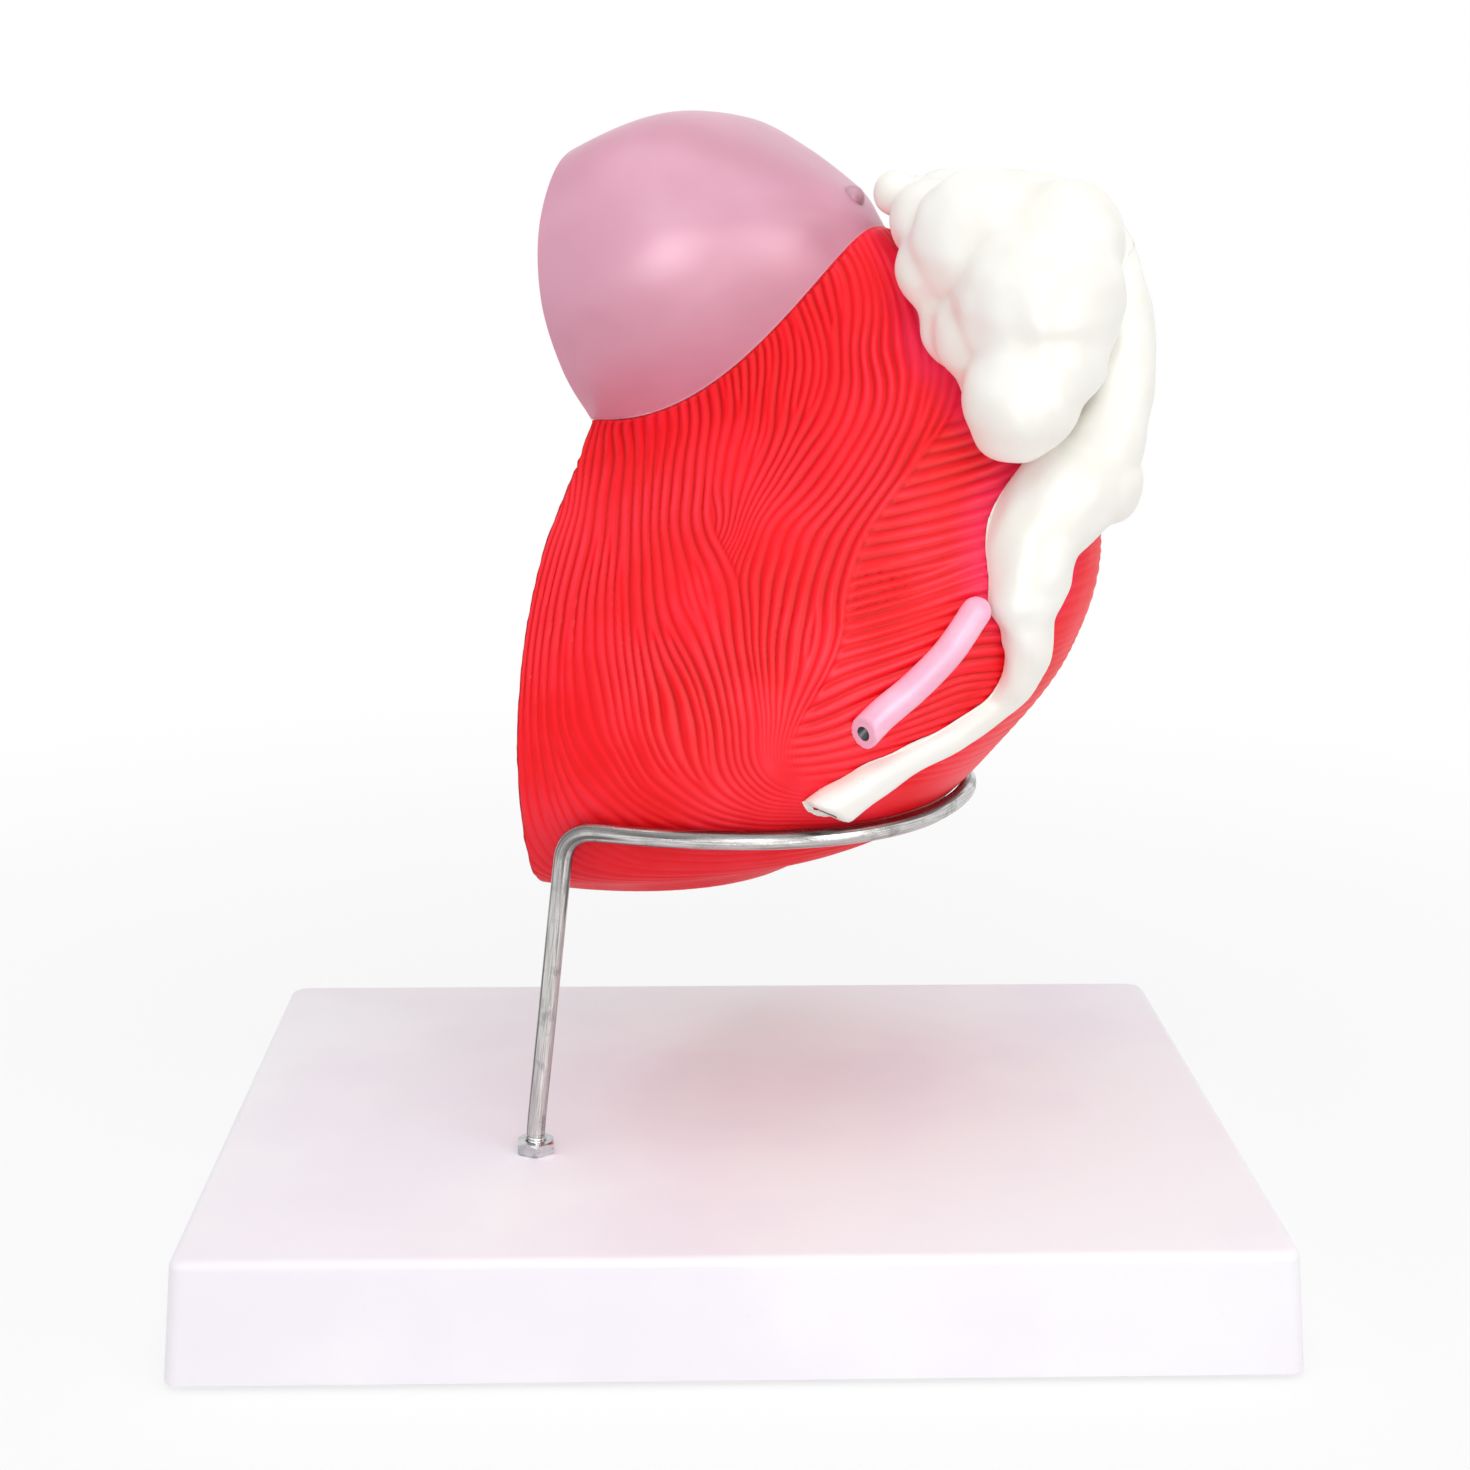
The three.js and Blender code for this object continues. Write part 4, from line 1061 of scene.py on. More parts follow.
def musclePaint():
    paint = Paint("muscle_paint")
    split = paint.stored("split")

    def crestOf(name):
        single, double = (
            abs((paint.stored(name) * (math.pi * times)).sine()) ** muscle["roundness"] for times in (1, 2)
        )
        return single + (double - single) * split

    crest = crestOf("left")
    crest = crest + (crestOf("right") - crest) * paint.stored("onRight")
    crest = crest + (crestOf("rings") - crest) * paint.stored("onRing")
    crest = 1 - (1 - crest) * paint.stored("clear")
    blotch = paint.noise(38, 3)
    red = paint.mix(tone(244, 2, 18), tone(255, 6, 30), blotch.within(0.35, 0.65))
    # painted shade: the grooves between the bundles are darker red
    grooveShaded = paint.mix(tone(206, 0, 10), red, crest.within(0.0, 0.65))
    # the crests turn pink: partly the paint's own paler pink, partly a painted highlight
    paleCrestsAndHighlight = paint.mix(grooveShaded, tone(255, 62, 82), crest.within(0.6, 1.0) * blotch.within(0.35, 0.7) * 0.6)
    blushedAndShaded = paint.mix(paleCrestsAndHighlight, tone(255, 50, 110), paint.stored("blush") * 0.55)
    # painted shade: the red grows darker towards the bottom, where the underside gets less light
    high = (paint.along((0, 0, 1)) - organ["lift"]).within(*muscle["shadeBelow"])
    blushedAndShaded = paint.mix(tone(206, 4, 20), blushedAndShaded, 0.45 + high * 0.55)
    cutFace = 1 - acrossOrgan(paint).within(0.75, 0.95)
    bundle = paint.cells(5).within(0.15, 0.75)
    section = paint.mix(tone(216, 70, 72), tone(184, 22, 34), bundle)
    colour = paint.mix(blushedAndShaded, section, cutFace)
    fine = crest * 1.6 * (1 - cutFace) + paint.noise(1.6, 2) * 0.4
    rough = 0.38 + paint.noise(9, 2) * 0.12
    return paint.finish(colour, rough, paint.bump(fine, 0.12), {"Specular IOR Level": 0.22})


def acrossOrgan(paint):  # millimetres back from the organ's cut face
    axis = organFrame.col[0].xyz
    return paint.along(tuple(axis)) - axis.dot(organFrame.translation) / mm


# Lining of the bladder with its folds, the smooth triangle between the ureters and the funnel of the neck

lining = {
    "step": 1.2,
    "foldHeight": 1.6,
    "foldSize": 26,
    "foldLayers": ((1, 31, 0.65), (0.55, 32, 0.35)),  # share of the size, seed, share of the height
    "foldThin": 2.2,  # more makes the folds thinner
    "foldBlunt": 0.8,  # less makes them blunter
    "mouthT": 6.35,  # the station and the degrees from the rims where the ureters open
    "mouthDegrees": 62,
    "mouthRim": {"radius": 4, "width": 2.2, "height": 1.6},
    "mouthPit": {"width": 2, "depth": 2.2},
    "mouthInset": (0.97, 0.97, 1),  # brings a mouth's middle from the hollow in to the lining
    "ridgeHeight": 1.1,  # of the ridge between the two mouths
    "ridgeWidth": 0.16,  # in stations
    "triangleAtNeck": 6,  # half width of the smooth triangle there, in degrees
    "triangleEdge": (1.15, 0.95),  # shares of its half width over which it begins
    "triangleBase": 0.35,  # stations over which it begins below the mouths
    "neckT": 8.6,
    "funnelT": (7.4, 8.2),  # stations over which the folds fade towards the neck
    "funnelFade": 0.8,
    "relief": (-1.8, 3),  # lowest and highest
}


def liningRelief(t, angle, grid):
    folds = np.zeros(grid.shape[:-1])
    for scale, seed, share in lining["foldLayers"]:
        waves = np.abs(softNoise(grid, lining["foldSize"] * scale, seed))
        folds += share * np.clip(1 - lining["foldThin"] * waves, 0, 1) ** lining["foldBlunt"]
    mouthT = lining["mouthT"]
    station = t[:, None]
    around = np.degrees(angle)[None, :] - 90
    spread = np.clip((lining["neckT"] - station) / (lining["neckT"] - mouthT), 0, 1)
    halfWidth = 90 - lining["mouthDegrees"]
    outward = np.abs(around) / (lining["triangleAtNeck"] + halfWidth * spread)
    inside = smoothStep(*lining["triangleEdge"], outward)  # the smooth triangle
    inside = inside * smoothStep(mouthT - lining["triangleBase"], mouthT, station)
    ridge = np.exp(-(((station - mouthT) / lining["ridgeWidth"]) ** 2)) * (np.abs(around) < halfWidth + 2)
    funnel = smoothStep(*lining["funnelT"], station)
    height = lining["foldHeight"] * folds * (1 - inside) * (1 - lining["funnelFade"] * funnel)
    height = height + lining["ridgeHeight"] * ridge
    rim, pit = lining["mouthRim"], lining["mouthPit"]
    for side in (-1, 1):
        mouth = surfacePoints(hollowStations, mouthT, math.radians(90 + side * halfWidth))
        reach = np.linalg.norm(grid - mouth * lining["mouthInset"], axis=-1)
        height += rim["height"] * np.exp(-((reach - rim["radius"]) / rim["width"]) ** 2)
        height -= pit["depth"] * np.exp(-((reach / pit["width"]) ** 2))
    return np.clip(height, *lining["relief"])


def bladderLining():
    grid = organGrid(hollowStations, 1.8, -layers["gap"])[2]
    skin = organBody("bladder_mucosa", grid)
    neckTop = seamStation[0] - 0.3
    joinedWith(skin, upright("neck", layers["urethra"] + layers["urethraWall"], channelBottom + 2, neckTop))
    t, angle, inner = organGrid(hollowStations, lining["step"], -layers["gap"] - layers["lining"])
    shaped = inner - gridNormals(inner) * liningRelief(t, angle, inner)[..., None]
    cavity = organBody("cavity", shaped, behind=cutMargin)
    bore = upright("bore", layers["urethra"], channelBottom, blockSide)
    front = block("front", (-3 * cutMargin, 0), (-blockSide / 2, blockSide / 2), (0, blockSide))
    return onOrgan(smoothed(cutWith(skin, cavity, bore, front), 50))


def liningPaint():
    paint = Paint("mucosa_paint")
    blotch = paint.noise(18, 3)
    pink = paint.mix(tone(232, 150, 138), tone(244, 178, 164), blotch.within(0.35, 0.65))
    vessels = paint.cells(16, "DISTANCE_TO_EDGE", paint.stretched((1, 1, 0.6))).within(0.0, 0.035)
    veined = paint.mix(tone(206, 92, 92), pink, 0.55 + vessels * 0.45)
    fine = paint.noise(1.4, 3)
    return paint.finish(veined, 0.32 + blotch * 0.1, paint.bump(fine, 0.1), {"Specular IOR Level": 0.4})


# Prostate: outer layer, gland and urethra

prostate = {
    "nub": (77.5, -2, 340.5, 4),  # x, y, z and radius of the small dark knob between the ducts
    "swell": 0.25,  # how much the outer layer is uneven
    "sectionMiddle": 312,  # height of the middle of the section's pattern
    "sectionSquash": 0.75,  # upwards, a reach from that middle counts this much
    "lobuleSize": 11,
    "lobuleDepth": 0.75,
    "lobulesFrom": (12, 20),  # reaches over which the lobules begin
    "strandMiddle": 306,  # height that the strands run out from
    "strandCount": 11,  # in half a turn
    "strandDepth": 0.35,
    "strandsFrom": (10, 24),
    "sectionDepth": 0.12,  # least depth of the section behind the cut face
}


def prostateCore(name, layer, step):  # the prostate less a layer, on through the seam and the cut face
    low = (seamStation[0] - cutMargin, *seamStation[1:3], seamStation[3] - cutMargin, *seamStation[4:])
    return organBody(name, organGrid([low, *prostateStations], step, -layer)[2], behind=cutMargin)


def prostateCapsule():
    t, _, grid = organGrid(prostateStations, 1.3)
    swell = prostate["swell"]
    height = swell * softNoise(grid, 70, 41) * smoothStep(0, 0.6, t)[:, None] - swell
    capsule = organBody("prostate_capsule_skin", grid + gridNormals(grid) * height[..., None])
    joinedWith(capsule, ballAt(*prostate["nub"]))
    keptInside(capsule, aboveSeam(layers["seamGap"]))
    core = prostateCore("core", layers["capsule"], 2.5)
    cutWith(capsule, core, upright("channel", channelRadius, channelBottom, blockSide))
    return onOrgan(smoothed(capsule, 45))


def prostateGland():
    gland = prostateCore("prostate_section", layers["capsule"] + layers["gap"], 2.0)
    keptInside(gland, aboveSeam(layers["seamGap"]))

    def relief(face):
        y, z = face[..., 1], face[..., 2]
        reach = np.hypot(y, (z - prostate["sectionMiddle"]) * prostate["sectionSquash"])
        ray = np.arctan2(z - prostate["strandMiddle"], y)
        lobules = np.abs(softNoise(face, prostate["lobuleSize"], 51))
        lobules = prostate["lobuleDepth"] * (lobules * smoothStep(*prostate["lobulesFrom"], reach))
        begun = smoothStep(*prostate["strandsFrom"], reach)
        strands = np.abs(np.sin(ray * prostate["strandCount"] + softNoise(face, 40, 52))) * begun
        return prostate["sectionDepth"] + lobules + prostate["strandDepth"] * (1 - strands) * begun

    channel = upright("channel", channelRadius, channelBottom, blockSide)
    cutWith(gland, channel, inFront(72, 262, 366, 0.9, relief))
    return onOrgan(smoothed(gland, 55))


urethra = {
    "low": 240,
    "sides": 72,
    "moundMiddle": 302,
    "moundLength": 15,
    "moundHeight": 2.3,
    "ridge": (272, 352),
    "ridgeHeight": 0.8,
    "mouths": [(0, 0.45), (-1.3, 0.3), (1.3, 0.3)],  # place across the mound and radius
    "mouthDepth": 4.2,
}


def urethraMound():  # the mound on the back wall, where the ducts open
    middle, length = urethra["moundMiddle"], urethra["moundLength"]
    line = [(layers["urethra"] + 0.1, 0, z) for z in (middle - 8, middle, middle + 8)]
    steps = 20
    profile = [(0.5, 0)]
    for step in range(1, steps):
        share = step / steps
        profile.append((0.5 + length * share, urethra["moundHeight"] * math.sin(math.pi * share) ** 0.7))
    return tubeBody("mound", line, profile + [(0.5 + length, 0)], 24)


def urethraRidge():
    low, high = urethra["ridge"]
    line = [(layers["urethra"] + 0.2, 0, z) for z in (low, (low + high) / 2, high)]
    swell = urethra["ridgeHeight"]
    return tubeBody("ridge", line, [(0, 0), (6, swell), (60, swell), (high - low, 0)], 16)


def urethraMouth(y, radius):
    start, depth = 2, urethra["mouthDepth"]
    line = [(x, y, urethra["moundMiddle"] + 1) for x in (start, start + 3, start + 6)]
    return tubeBody("mouth", line, [(0, 0), (0, radius), (depth, radius), (depth, 0)], 16)


def urethraLining():
    bore = layers["urethra"]
    sides = urethra["sides"]
    tube = upright("urethra_wall", bore + layers["urethraWall"], urethra["low"], blockSide, sides)
    cutWith(tube, upright("bore", bore, urethra["low"] - cutMargin, blockSide + cutMargin, sides))
    joinedWith(tube, urethraMound(), urethraRidge())
    keptInside(tube, organBody("shape", organGrid(prostateStations, 2.0, -layers["gap"])[2]))
    keptInside(tube, aboveSeam(layers["seamGap"]))
    mouths = [urethraMouth(y, radius) for y, radius in urethra["mouths"]]
    return onOrgan(smoothed(cutWith(tube, *mouths), 45))


def capsulePaint():
    paint = Paint("mauve_paint")
    cloud = paint.noise(55, 3)
    mauve = paint.mix(tone(204, 142, 164), tone(213, 153, 176), cloud.within(0.35, 0.65))
    *nubPlace, nubRadius = prostate["nub"]
    nub = tuple(organPlace(nubPlace) * mm)
    toNub = paint.node("VectorMath", {"operation": "DISTANCE"}, {0: paint.place, 1: nub}, "Value") / mm
    mauve = paint.mix(tone(178, 138, 152), mauve, toNub.within(nubRadius - 1, nubRadius + 1.5))
    axis = acrossOrgan(paint)
    seam = 0.5 + paint.along((0, 0, 1)) - organ["lift"] - seamStation[0]
    rise = (axis.most(0.0) / seamStation[2]) ** seamStation[4] * (seamStation[3] - seamStation[0])
    ticks = paint.noise(1.5, 1, paint.stretched((1, 1, 0.15))).within(0.5, 0.6)
    near = 1 - (seam - rise).within(0.8, 2.6)
    rim = 1 - (seam - rise).within(0.9, 1.5)
    rimmed = paint.mix(mauve, tone(244, 184, 202), rim * 0.7)
    ticked = paint.mix(rimmed, tone(250, 205, 222), ticks * near * paint.noise(30, 1).within(0.45, 0.6) * 0.8)
    rough = 0.27 + paint.noise(12, 3) * 0.08
    return paint.finish(ticked, rough, paint.bump(paint.noise(3.5, 2), 0.03), {"Specular IOR Level": 0.6})


def glandPaint():
    paint = Paint("gland_paint")
    lobules = paint.cells(6, "SMOOTH_F1").within(0.1, 0.6)
    colour = paint.mix(tone(238, 176, 158), tone(196, 104, 108), lobules)
    mottled = paint.mix(colour, tone(226, 150, 150), paint.noise(22, 3).within(0.4, 0.7) * 0.6)
    return paint.finish(mottled, 0.4 + paint.noise(5, 2) * 0.1, paint.bump(paint.noise(1.2, 3), 0.12))


def urethraPaint():
    paint = Paint("urethra_paint")
    colour = paint.mix(tone(246, 196, 182), tone(236, 168, 158), paint.noise(9, 3).within(0.4, 0.65))
    return paint.finish(colour, 0.34 + paint.noise(3, 2) * 0.1, paint.bump(paint.noise(1, 2), 0.06))


# Seminal vesicles, deferent ducts and ureters: soft forms pressed against what they lie on

soft = {
    "vesicleVoxel": 1.0,
    "vesicleRounds": 70,  # of smoothing
    "vesicleGrow": 1.0,  # millimetres put back on after the smoothing
    "vesicleLumps": 0.35,
    "ductVoxel": 0.9,
    "ductRounds": 12,
    "ductLumps": 0.3,
    "lumpSize": 13,
    "creaseDepth": 0.09,  # a groove this deep over one step of the mesh counts as a full crease
    "slit": (4.4, 2.6),  # half length and half width of the duct's opening
    "slitDepth": 6,
    "ductCut": (-0.2, -0.5, -0.84),  # a duct's end is cut square to this, past its last place
    "ureterCut": (-0.36, -0.85, -0.38),  # and a ureter's end to this
    "ureterVoxel": 0.5,
    "ureterRounds": 5,
    "lumen": 2.3,  # radius of the ureter's opening
    "lumenDepth": 12,
}
softPlaces = {  # x, y, z and radius, on the side with negative y; the left side's are mirrored: key -1
    1: {
        "vesicle": [
            (95, -9, 342, 6.5),
            (109, -14.5, 334, 12),
            (117, -25.5, 321, 13.5),
            (130, -28, 329, 20),
            (151, -34, 312, 24),
            (149.5, -43, 285, 17),
            (154, -25, 328, 18),
            (134.5, -32, 302, 15),
            (148, -43.5, 279, 13),
            (127, -20.5, 306, 17),
            (143.5, -27, 292, 18),
            (153.5, -36, 297, 18.5),
        ],
        "duct": [
            (93, -5.5, 342, 4.5),
            (116, -8, 343, 6),
            (145, -10, 339, 8.5),
            (160, -11.5, 327, 10),
            (167, -11.5, 312, 10),
            (170, -11, 298, 9.5),
            (169, -12, 282, 10.5),
            (165, -15, 268, 13),
            (158.5, -20.5, 257, 16.5),
            (150, -27.5, 243, 14.8),
            (149.5, -30, 232, 13.5),
            (149, -32, 223, 11.3),
            (150, -31.5, 214.5, 8.4),
            (150, -30, 206, 7),
            (146, -27, 197.5, 6.5),
            (139, -26.5, 190, 6.3),
            (129, -34, 181.5, 6.3),
            (115, -44.5, 172.5, 6.3),
            (107, -51, 166.5, 6.8),
            (96.5, -59, 157, 7.4),
        ],
        "ampulla": (165, -14.5, 258, 13.5),
        "ureter": [
            (138.5, -45, 221, 4.6),
            (132, -50, 209, 4.7),
            (123, -55, 198, 4.8),
            (115, -59.5, 190, 4.9),
            (110, -62, 184, 5),
        ],
    },
    -1: {
        "vesicle": [
            (95, -9, 341, 6),
            (107, -15, 332, 11),
            (112, -26, 314, 13),
            (124, -29, 326, 18),
            (135, -37, 309, 21),
            (130, -44, 285, 18),
            (138, -26, 325, 16),
            (118, -38, 301, 16),
            (124, -47, 277, 14),
            (117, -25, 305, 16),
            (130, -34, 291, 17),
            (136, -38, 296, 17),
        ],
        "duct": [
            (93, -5.5, 341, 4.5),
            (116, -9, 341, 5.5),
            (140, -12, 335, 8),
            (152, -14, 323, 9.5),
            (156, -16, 310, 9.5),
            (155, -19, 297, 9.5),
            (152, -23, 282, 10.5),
            (146, -29, 267, 12),
            (136, -38, 253, 13.5),
            (128, -44, 241, 12.5),
            (122, -50, 230, 11),
            (119, -55, 219, 9),
            (118, -59, 208, 7.2),
            (115.5, -61, 197, 6.5),
            (108.5, -64, 187, 6.3),
            (99, -67, 179, 6.3),
            (89, -70.5, 171, 6.6),
            (78, -75, 165, 7.4),
        ],
        "ampulla": (140, -33, 254, 12),
        "ureter": [
            (105.5, -62, 222, 4.6),
            (98.5, -66.5, 210, 4.7),
            (90.5, -71, 199, 4.8),
            (84, -74, 191, 4.9),
            (79, -76, 185, 5),
        ],
    },
}


def pathLine(path):  # a dense line through the places of a path, and the radius at each of its points
    path = np.array(path, float)
    places = np.linspace(0, len(path) - 1, (len(path) - 1) * 12 + 1)
    near = np.minimum(np.floor(places).astype(int), len(path) - 2)
    blend = smoothStep(0, 1, places - near)
    return curveThrough(path[:, :3], places), path[near, 3] * (1 - blend) + path[near + 1, 3] * blend


def ballAt(x, y, z, radius):
    line = [(x, y, z - 1), (x, y, z), (x, y, z + 1)]
    turn = np.linspace(0, math.pi, 25)
    return tubeBody("ball", line, [(1 - radius * math.cos(a), radius * math.sin(a)) for a in turn], 40)


def remeshed(name, parts, voxel, rounds, lumps, seed, grow=0.0):  # one soft piece around several
    whole = joinedWith(parts[0], *parts[1:])
    whole.name = name
    modifier = whole.modifiers.new("skin", "REMESH")
    modifier.mode = "VOXEL"
    modifier.voxel_size = voxel * mm
    modifier = whole.modifiers.new("soften", "SMOOTH")
    modifier.iterations = rounds
    modifier.factor = 0.5
    applied(whole)
    points = meshPoints(whole)
    swell = grow + lumps * softNoise(points, soft["lumpSize"], seed)
    setPoints(whole, points + meshNormals(whole) * swell[:, None])
    return whole


def meshPoints(piece):  # in millimetres
    points = np.zeros(len(piece.data.vertices) * 3)
    piece.data.vertices.foreach_get("co", points)
    return points.reshape(-1, 3) / mm


def meshNormals(piece):
    normals = np.zeros(len(piece.data.vertices) * 3)
    piece.data.vertices.foreach_get("normal", normals)
    return normals.reshape(-1, 3)


def setPoints(piece, points):
    piece.data.vertices.foreach_set("co", (points * mm).ravel())
    piece.data.update()


def surfaceTree(points, faces):
    return BVHTree.FromPolygons([Vector(point) for point in points], faces.tolist())


def liesInside(point, tree):  # true when a ray to the outside meets the surface an odd number of times
    ray = Vector((0.6, -0.7, 0.3)).normalized()
    crossings = 0
    found = tree.ray_cast(point, ray)[0]
    while found is not None and crossings < 12:
        crossings += 1
        found = tree.ray_cast(found + ray * 0.01, ray)[0]
    return crossings % 2 == 1


def pressedOut(points, tree, gap):  # points that reach into a surface come out of it, to the gap
    moved = points.copy()
    for index, point in enumerate(points):
        point = Vector(point)
        found, normal, _, reach = tree.find_nearest(point)
        if (point - found).dot(normal) < gap and (reach < gap or liesInside(point, tree)):
            moved[index] = found + normal * gap
    return moved


def creases(piece, rounds=3):  # 0 on open form, up to 1 in its grooves
    points = meshPoints(piece)
    edges = np.zeros(len(piece.data.edges) * 2, int)
    piece.data.edges.foreach_get("vertices", edges)
    first, second = edges.reshape(-1, 2).T
    count = np.bincount(np.concatenate([first, second]), minlength=len(points))[:, None]

    def averaged(values):
        total = np.zeros_like(values)
        np.add.at(total, first, values[second])
        np.add.at(total, second, values[first])
        return total / count

    depth = ((averaged(points) - points) * meshNormals(piece)).sum(-1, keepdims=True)
    for _ in range(rounds):
        depth = averaged(depth)
    return np.clip(depth[:, 0] / soft["creaseDepth"], 0, 1)


def storeOn(piece, name, amounts):
    layer = piece.data.attributes.get(name) or piece.data.attributes.new(name, "FLOAT", "POINT")
    layer.data.foreach_set("value", np.asarray(amounts, np.float32))


def pieceTree(piece):
    return surfaceTree(meshPoints(piece), np.array([tuple(face.vertices) for face in piece.data.polygons]))


def bodyTree():  # bladder and prostate as one surface
    points = []
    faces = []
    start = 0
    for stations in (bladderStations, prostateStations):
        grid = organGrid(stations, 2.5)[2]
        faces.append(gridFaces(*grid.shape[:2], start))
        points.append(grid.reshape(-1, 3))
        start += len(points[-1])
    return surfaceTree(np.vstack(points), np.vstack(faces))


def pressedOn(piece, trees):  # the piece lies on these surfaces, and stays on its side of the middle plane
    points = meshPoints(piece)
    for tree in trees:
        points = pressedOut(points, tree, layers["gap"])
    points[:, 1] = np.minimum(points[:, 1], -layers["gap"])
    setPoints(piece, points)
    return piece


def obliqueTube(name, path, cut):  # a tube along a path, its start round and its end cut obliquely
    line, radius = pathLine(path)
    profile = [(0, 0), *zip(lengthAlong(line), radius)]
    beyond = lengthAlong(line)[-1] + 1.5 * radius[-1]  # the cut takes this extra length off
    tube = tubeBody(name, line, profile + [(beyond, radius[-1]), (beyond, 0)], 40)
    joinedWith(tube, ballAt(*path[0]))
    end = line[-1]
    out = np.array(cut) / np.linalg.norm(cut)
    blade = tubeBody("blade", [end, end + out, end + 2 * out], [(0, 0), (0, 25), (25, 25), (25, 0)], 24)
    return cutWith(tube, blade)


def ductPiece(places, body):
    parts = [obliqueTube("duct", places["duct"], soft["ductCut"]), ballAt(*places["ampulla"])]
    voxel, rounds, lumps = (soft["duct" + word] for word in ("Voxel", "Rounds", "Lumps"))
    return pressedOn(remeshed("duct", parts, voxel, rounds, lumps, 61), [body])


def vesiclePiece(places, body, ductTree):
    parts = [ballAt(*lobe) for lobe in places["vesicle"]]
    voxel, rounds, lumps, grow = (soft["vesicle" + word] for word in ("Voxel", "Rounds", "Lumps", "Grow"))
    return pressedOn(remeshed("vesicle", parts, voxel, rounds, lumps, 62, grow), [ductTree, body])


def drill(name, line, start, stop, radius, lift=None):  # cuts a hole whose wall is marked as bore
    rings = [(distance, radius) for distance in np.linspace(start, stop, round((stop - start) / 0.4))]
    profile = [(start, 0), *rings, (stop, 0)]
    return tubeBody(name, line, profile, 32, lift, {"bore": [1] * len(profile)})


def ductEnd(piece, places):  # opens the duct's cut end with a narrow slit
    end = np.array(places["duct"][-1][:3])
    out = np.array(soft["ductCut"]) / np.linalg.norm(soft["ductCut"])
    storeOn(piece, "bore", np.zeros(len(piece.data.vertices)))
    wide, narrow = soft["slit"]
    before, depth = 3, soft["slitDepth"]  # the cutter starts outside the end

    def flattened(distance, turn):
        return wide * narrow / np.hypot(narrow * np.cos(turn), wide * np.sin(turn)) - narrow + 0 * distance

    line = [end + before * out, end, end - depth * out]
    return cutWith(piece, drill("slit", line, 0, before + depth, narrow, flattened))


def ureterPiece(places, body, ductTree):
    tube = obliqueTube("ureter", places["ureter"], soft["ureterCut"])
    piece = remeshed("ureter", [tube], soft["ureterVoxel"], soft["ureterRounds"], 0, 63)
    pressedOn(piece, [ductTree, body])
    storeOn(piece, "bore", np.zeros(len(piece.data.vertices)))
    line = pathLine(places["ureter"])[0]
    end = lengthAlong(line)[-1]
    beyond = 9  # the hole's cutter runs out past the oblique end
    cutWith(piece, drill("hole", line, end - soft["lumenDepth"], end + beyond, soft["lumen"]))
    return smoothed(piece, 50)


def addSoftPieces():
    body = bodyTree()
    ductLooks = ivoryPaint("duct_paint")
    vesicleLooks = ivoryPaint("vesicle_paint")
    ureterLooks = ureterPaint()
    for side, word in ((1, "right"), (-1, "left")):
        places = softPlaces[side]
        tube = ductPiece(places, body)
        ductTree = pieceTree(tube)
        lobes = vesiclePiece(places, body, ductTree)
        made = [
            (tube, "duct", "deferent_duct", ductLooks),
            (lobes, "vesicle", "seminal_vesicle", vesicleLooks),
            (ureterPiece(places, body, ductTree), "ureter", "ureter", ureterLooks),
        ]
        for item in (tube, lobes):
            storeOn(item, "crease", creases(item))
        ductEnd(tube, places)
        for item, slot, node, looks in made:
            item.name = slot + "_piece_" + word
            if slot != "ureter":
                smoothed(item, 60)
            dressed(onOrgan(item, side), looks, "organ", slot, node + "_" + word)


def ivoryPaint(name):
    paint = Paint(name)
    crease = paint.stored("crease")
    cream = paint.mix(tone(244, 242, 234), tone(248, 247, 241), paint.noise(24, 3).within(0.35, 0.65))
    shaded = paint.mix(cream, tone(232, 216, 192), crease * 0.4)
    bored = paint.mix(shaded, tone(74, 74, 72), paint.stored("bore").within(0.4, 0.6))
    rough = 0.3 + paint.noise(10, 2) * 0.1
    return paint.finish(bored, rough, paint.bump(paint.noise(3, 3), 0.06), {"Specular IOR Level": 0.4})


def ureterPaint():
    paint = Paint("ureter_paint")
    pink = paint.mix(tone(250, 180, 208), tone(254, 194, 218), paint.noise(14, 3).within(0.35, 0.65))
    bored = paint.mix(pink, tone(70, 70, 76), paint.stored("bore").within(0.4, 0.6))
    return paint.finish(bored, 0.32 + paint.noise(8, 2) * 0.08, paint.bump(paint.noise(2.5, 2), 0.05))


# Floor, backdrop and lamps

studio = {
    "sky": 0.58,
    "floorReach": 40,  # metres from the middle to each side
    "whiteNear": 0.75,  # how much of the floor is plain white beside the model; the rest takes its shadow
    "whiteFrom": (250, 900),  # millimetres from the middle over which the floor turns all white
    "lamps": {  # places and sizes in metres
        "front": {"place": (0.1, -1.6, 0.9), "size": (1.0, 1.0), "watts": 4.7},
        "right": {"place": (1.3, -1.2, 1.0), "size": (0.9, 0.9), "watts": 2.9},
        "left": {"place": (-1.4, -0.8, 1.2), "size": (0.9, 0.9), "watts": 1.0},
        "top": {"place": (0.1, -0.6, 1.7), "size": (2.0, 2.0), "watts": 11.5},
    },
    "shines": {  # lamps that show in glossy surfaces and light nothing else
        "low_shine": {"place": (0.03, -0.37, 0.2), "size": (0.19, 0.32), "watts": 0.95},
        "side_shine": {"place": (0.31, -0.38, 0.24), "size": (0.1, 0.3), "watts": 0.6},
    },
    "aim": (0, 0, 0.2),
}
white = (1, 1, 1, 1)


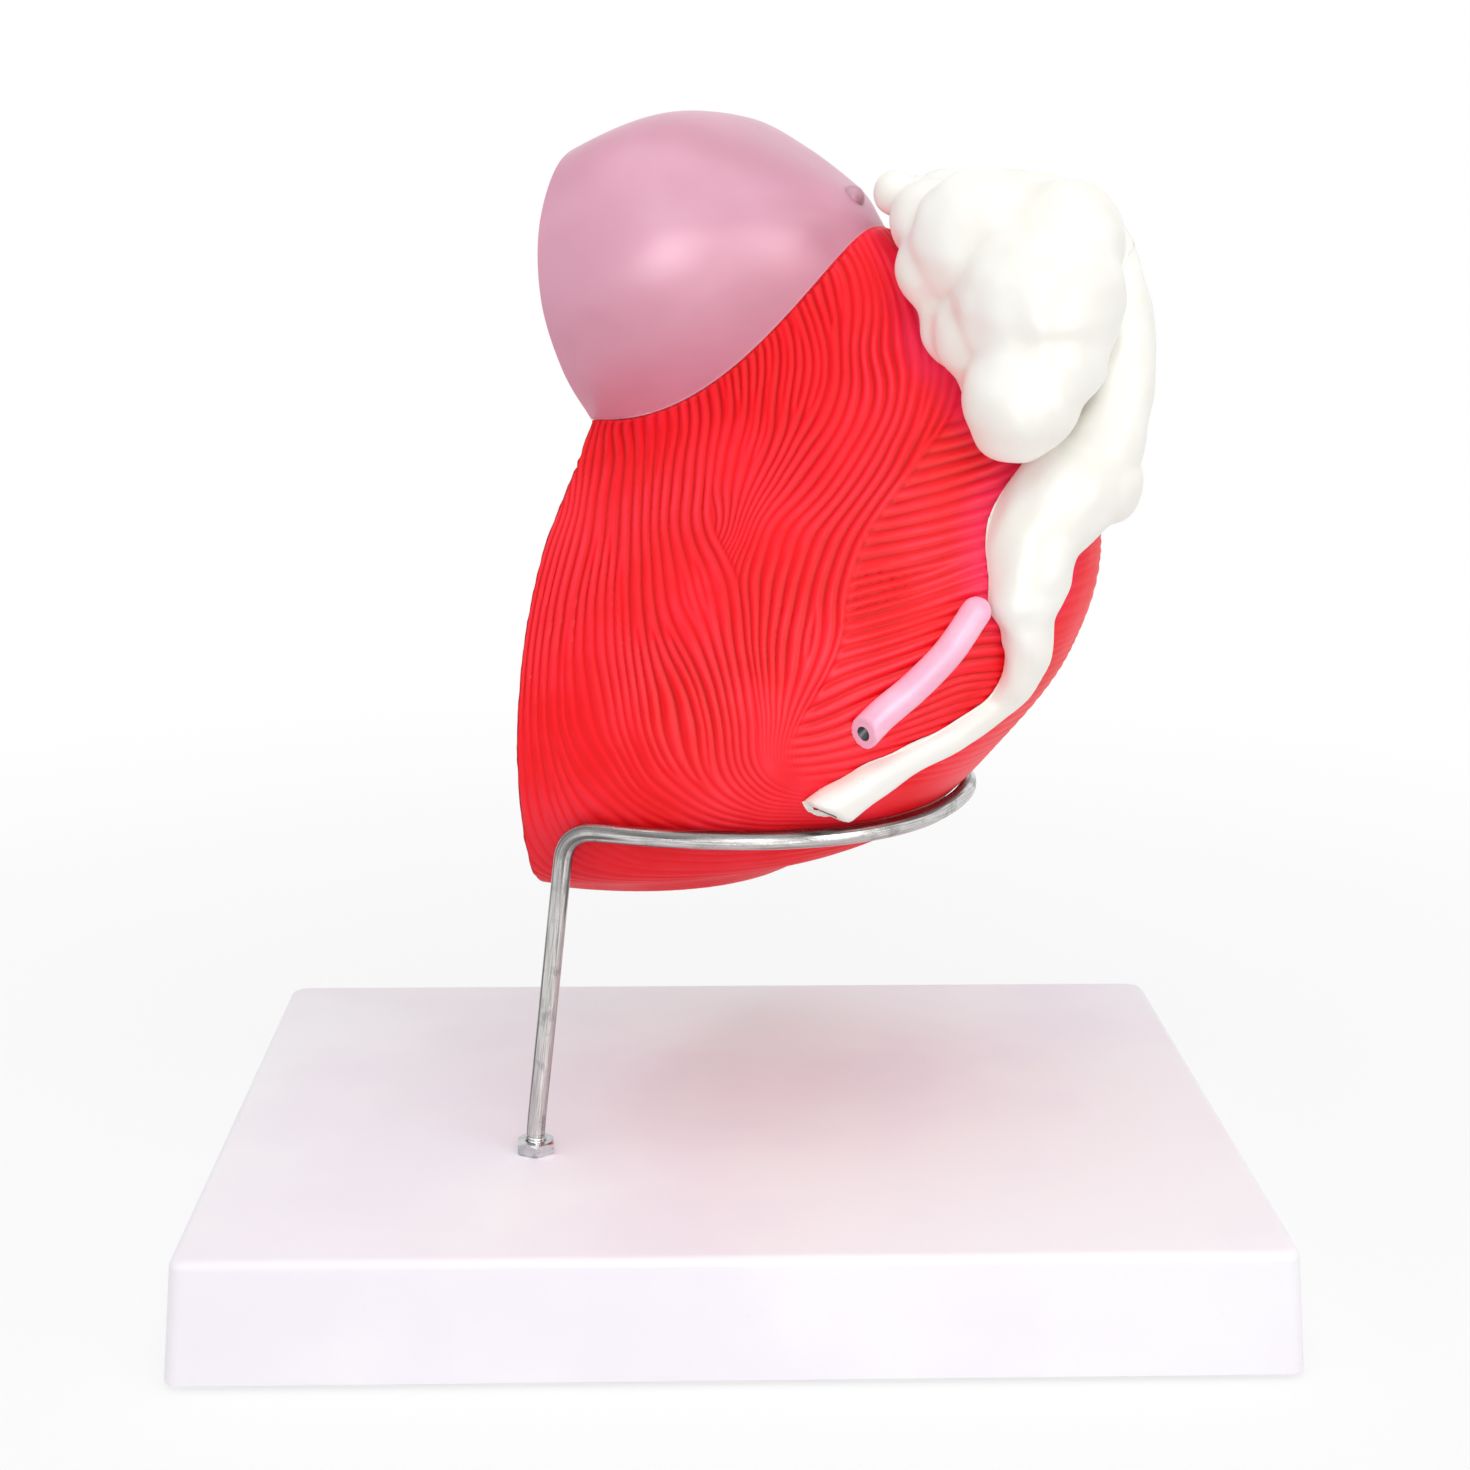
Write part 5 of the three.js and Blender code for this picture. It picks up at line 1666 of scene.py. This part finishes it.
def addFloor():
    reach = studio["floorReach"] / mm
    corners = [(-reach, -reach, 0), (reach, -reach, 0), (reach, reach, 0), (-reach, reach, 0)]
    floor = makePiece("floor", corners, [(0, 1, 2, 3)])
    floor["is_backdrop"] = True
    paint = Paint("floor_paint")
    away = paint.node("VectorMath", {"operation": "LENGTH"}, {0: paint.place}, "Value") / mm
    near = studio["whiteNear"]
    share = near + (1 - near) * away.within(*studio["whiteFrom"])
    lit = paint.node("BsdfDiffuse", {}, {"Color": (0.9, 0.9, 0.9, 1)})
    plain = paint.node("Emission", {}, {"Color": white, "Strength": 1.0})
    both = paint.node("MixShader", {}, {0: paint.seen() * share, 1: lit, 2: plain})
    paint.node("OutputMaterial", {}, {"Surface": both})
    floor.data.materials.append(paint.material)


def addSky():
    paint = Paint("sky_paint", "worlds")
    lit = paint.node("Background", {}, {"Color": white, "Strength": studio["sky"]})
    plain = paint.node("Background", {}, {"Color": white, "Strength": 1.0})
    both = paint.node("MixShader", {}, {0: paint.seen(), 1: lit, 2: plain})
    paint.node("OutputWorld", {}, {"Surface": both})
    bpy.context.scene.world = paint.material


def addLamps():
    for name, lamp in {**studio["lamps"], **studio["shines"]}.items():
        light = bpy.data.lights.new(name, "AREA")
        light.shape = "ELLIPSE"
        light.size, light.size_y = lamp["size"]
        light.energy = lamp["watts"]
        item = bpy.data.objects.new(name, light)
        item.location = lamp["place"]
        item.rotation_euler = (Vector(studio["aim"]) - item.location).to_track_quat("-Z", "Y").to_euler()
        item.visible_camera = False
        item.visible_diffuse = name in studio["lamps"]
        bpy.context.scene.collection.objects.link(item)


# The whole model

setCamera()
addFloor()
addSky()
addLamps()
bpy.context.scene.view_settings.view_transform = "Standard"
print("camera, floor and lamps set")

platedSteel = platedPaint()
rubber = rubberPaint()
dressed(baseMoulding(), basePaint(), "stand", "base_moulding", "base_shell")
dressed(basePlate(), platePaint(), "stand", "base_plate", "base_plate")
for corner, (x, y) in fourCorners(screw["inset"]).items():
    dressed(plateScrew("screw_" + corner, x, y), platedSteel, "stand", "fasteners", "plate_screw_" + corner)
for corner, (x, y) in fourCorners(base["footInset"]).items():
    dressed(rubberFoot("rubber_foot_" + corner, x, y), rubber, "stand", "feet", "foot_" + corner)
print("base made")

dressed(supportRod(), rodPaint(), "stand", "rod", "support_rod")
dressed(hexNut("nut_on_base", baseTop), platedSteel, "stand", "fasteners", "rod_nut_top")
dressed(hexNut("nut_under_base", lowNutBottom), platedSteel, "stand", "fasteners", "rod_nut_under")
dressed(underWasher(), platedSteel, "stand", "fasteners", "rod_washer_under")
print("rod, nuts and washer made")

dressed(muscleWall(), musclePaint(), "organ", "muscle", "bladder_wall")
dressed(bladderLining(), liningPaint(), "organ", "mucosa", "bladder_lining")
print("bladder made")

dressed(prostateCapsule(), capsulePaint(), "organ", "prostate_surface", "prostate_capsule")
dressed(prostateGland(), glandPaint(), "organ", "gland", "prostate_gland")
dressed(urethraLining(), urethraPaint(), "organ", "urethra", "urethra_lining")
print("prostate made")

addSoftPieces()
print("vesicles, ducts and ureters made")

[[list(corner) for corner in box] for box in (cadBox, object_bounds())]
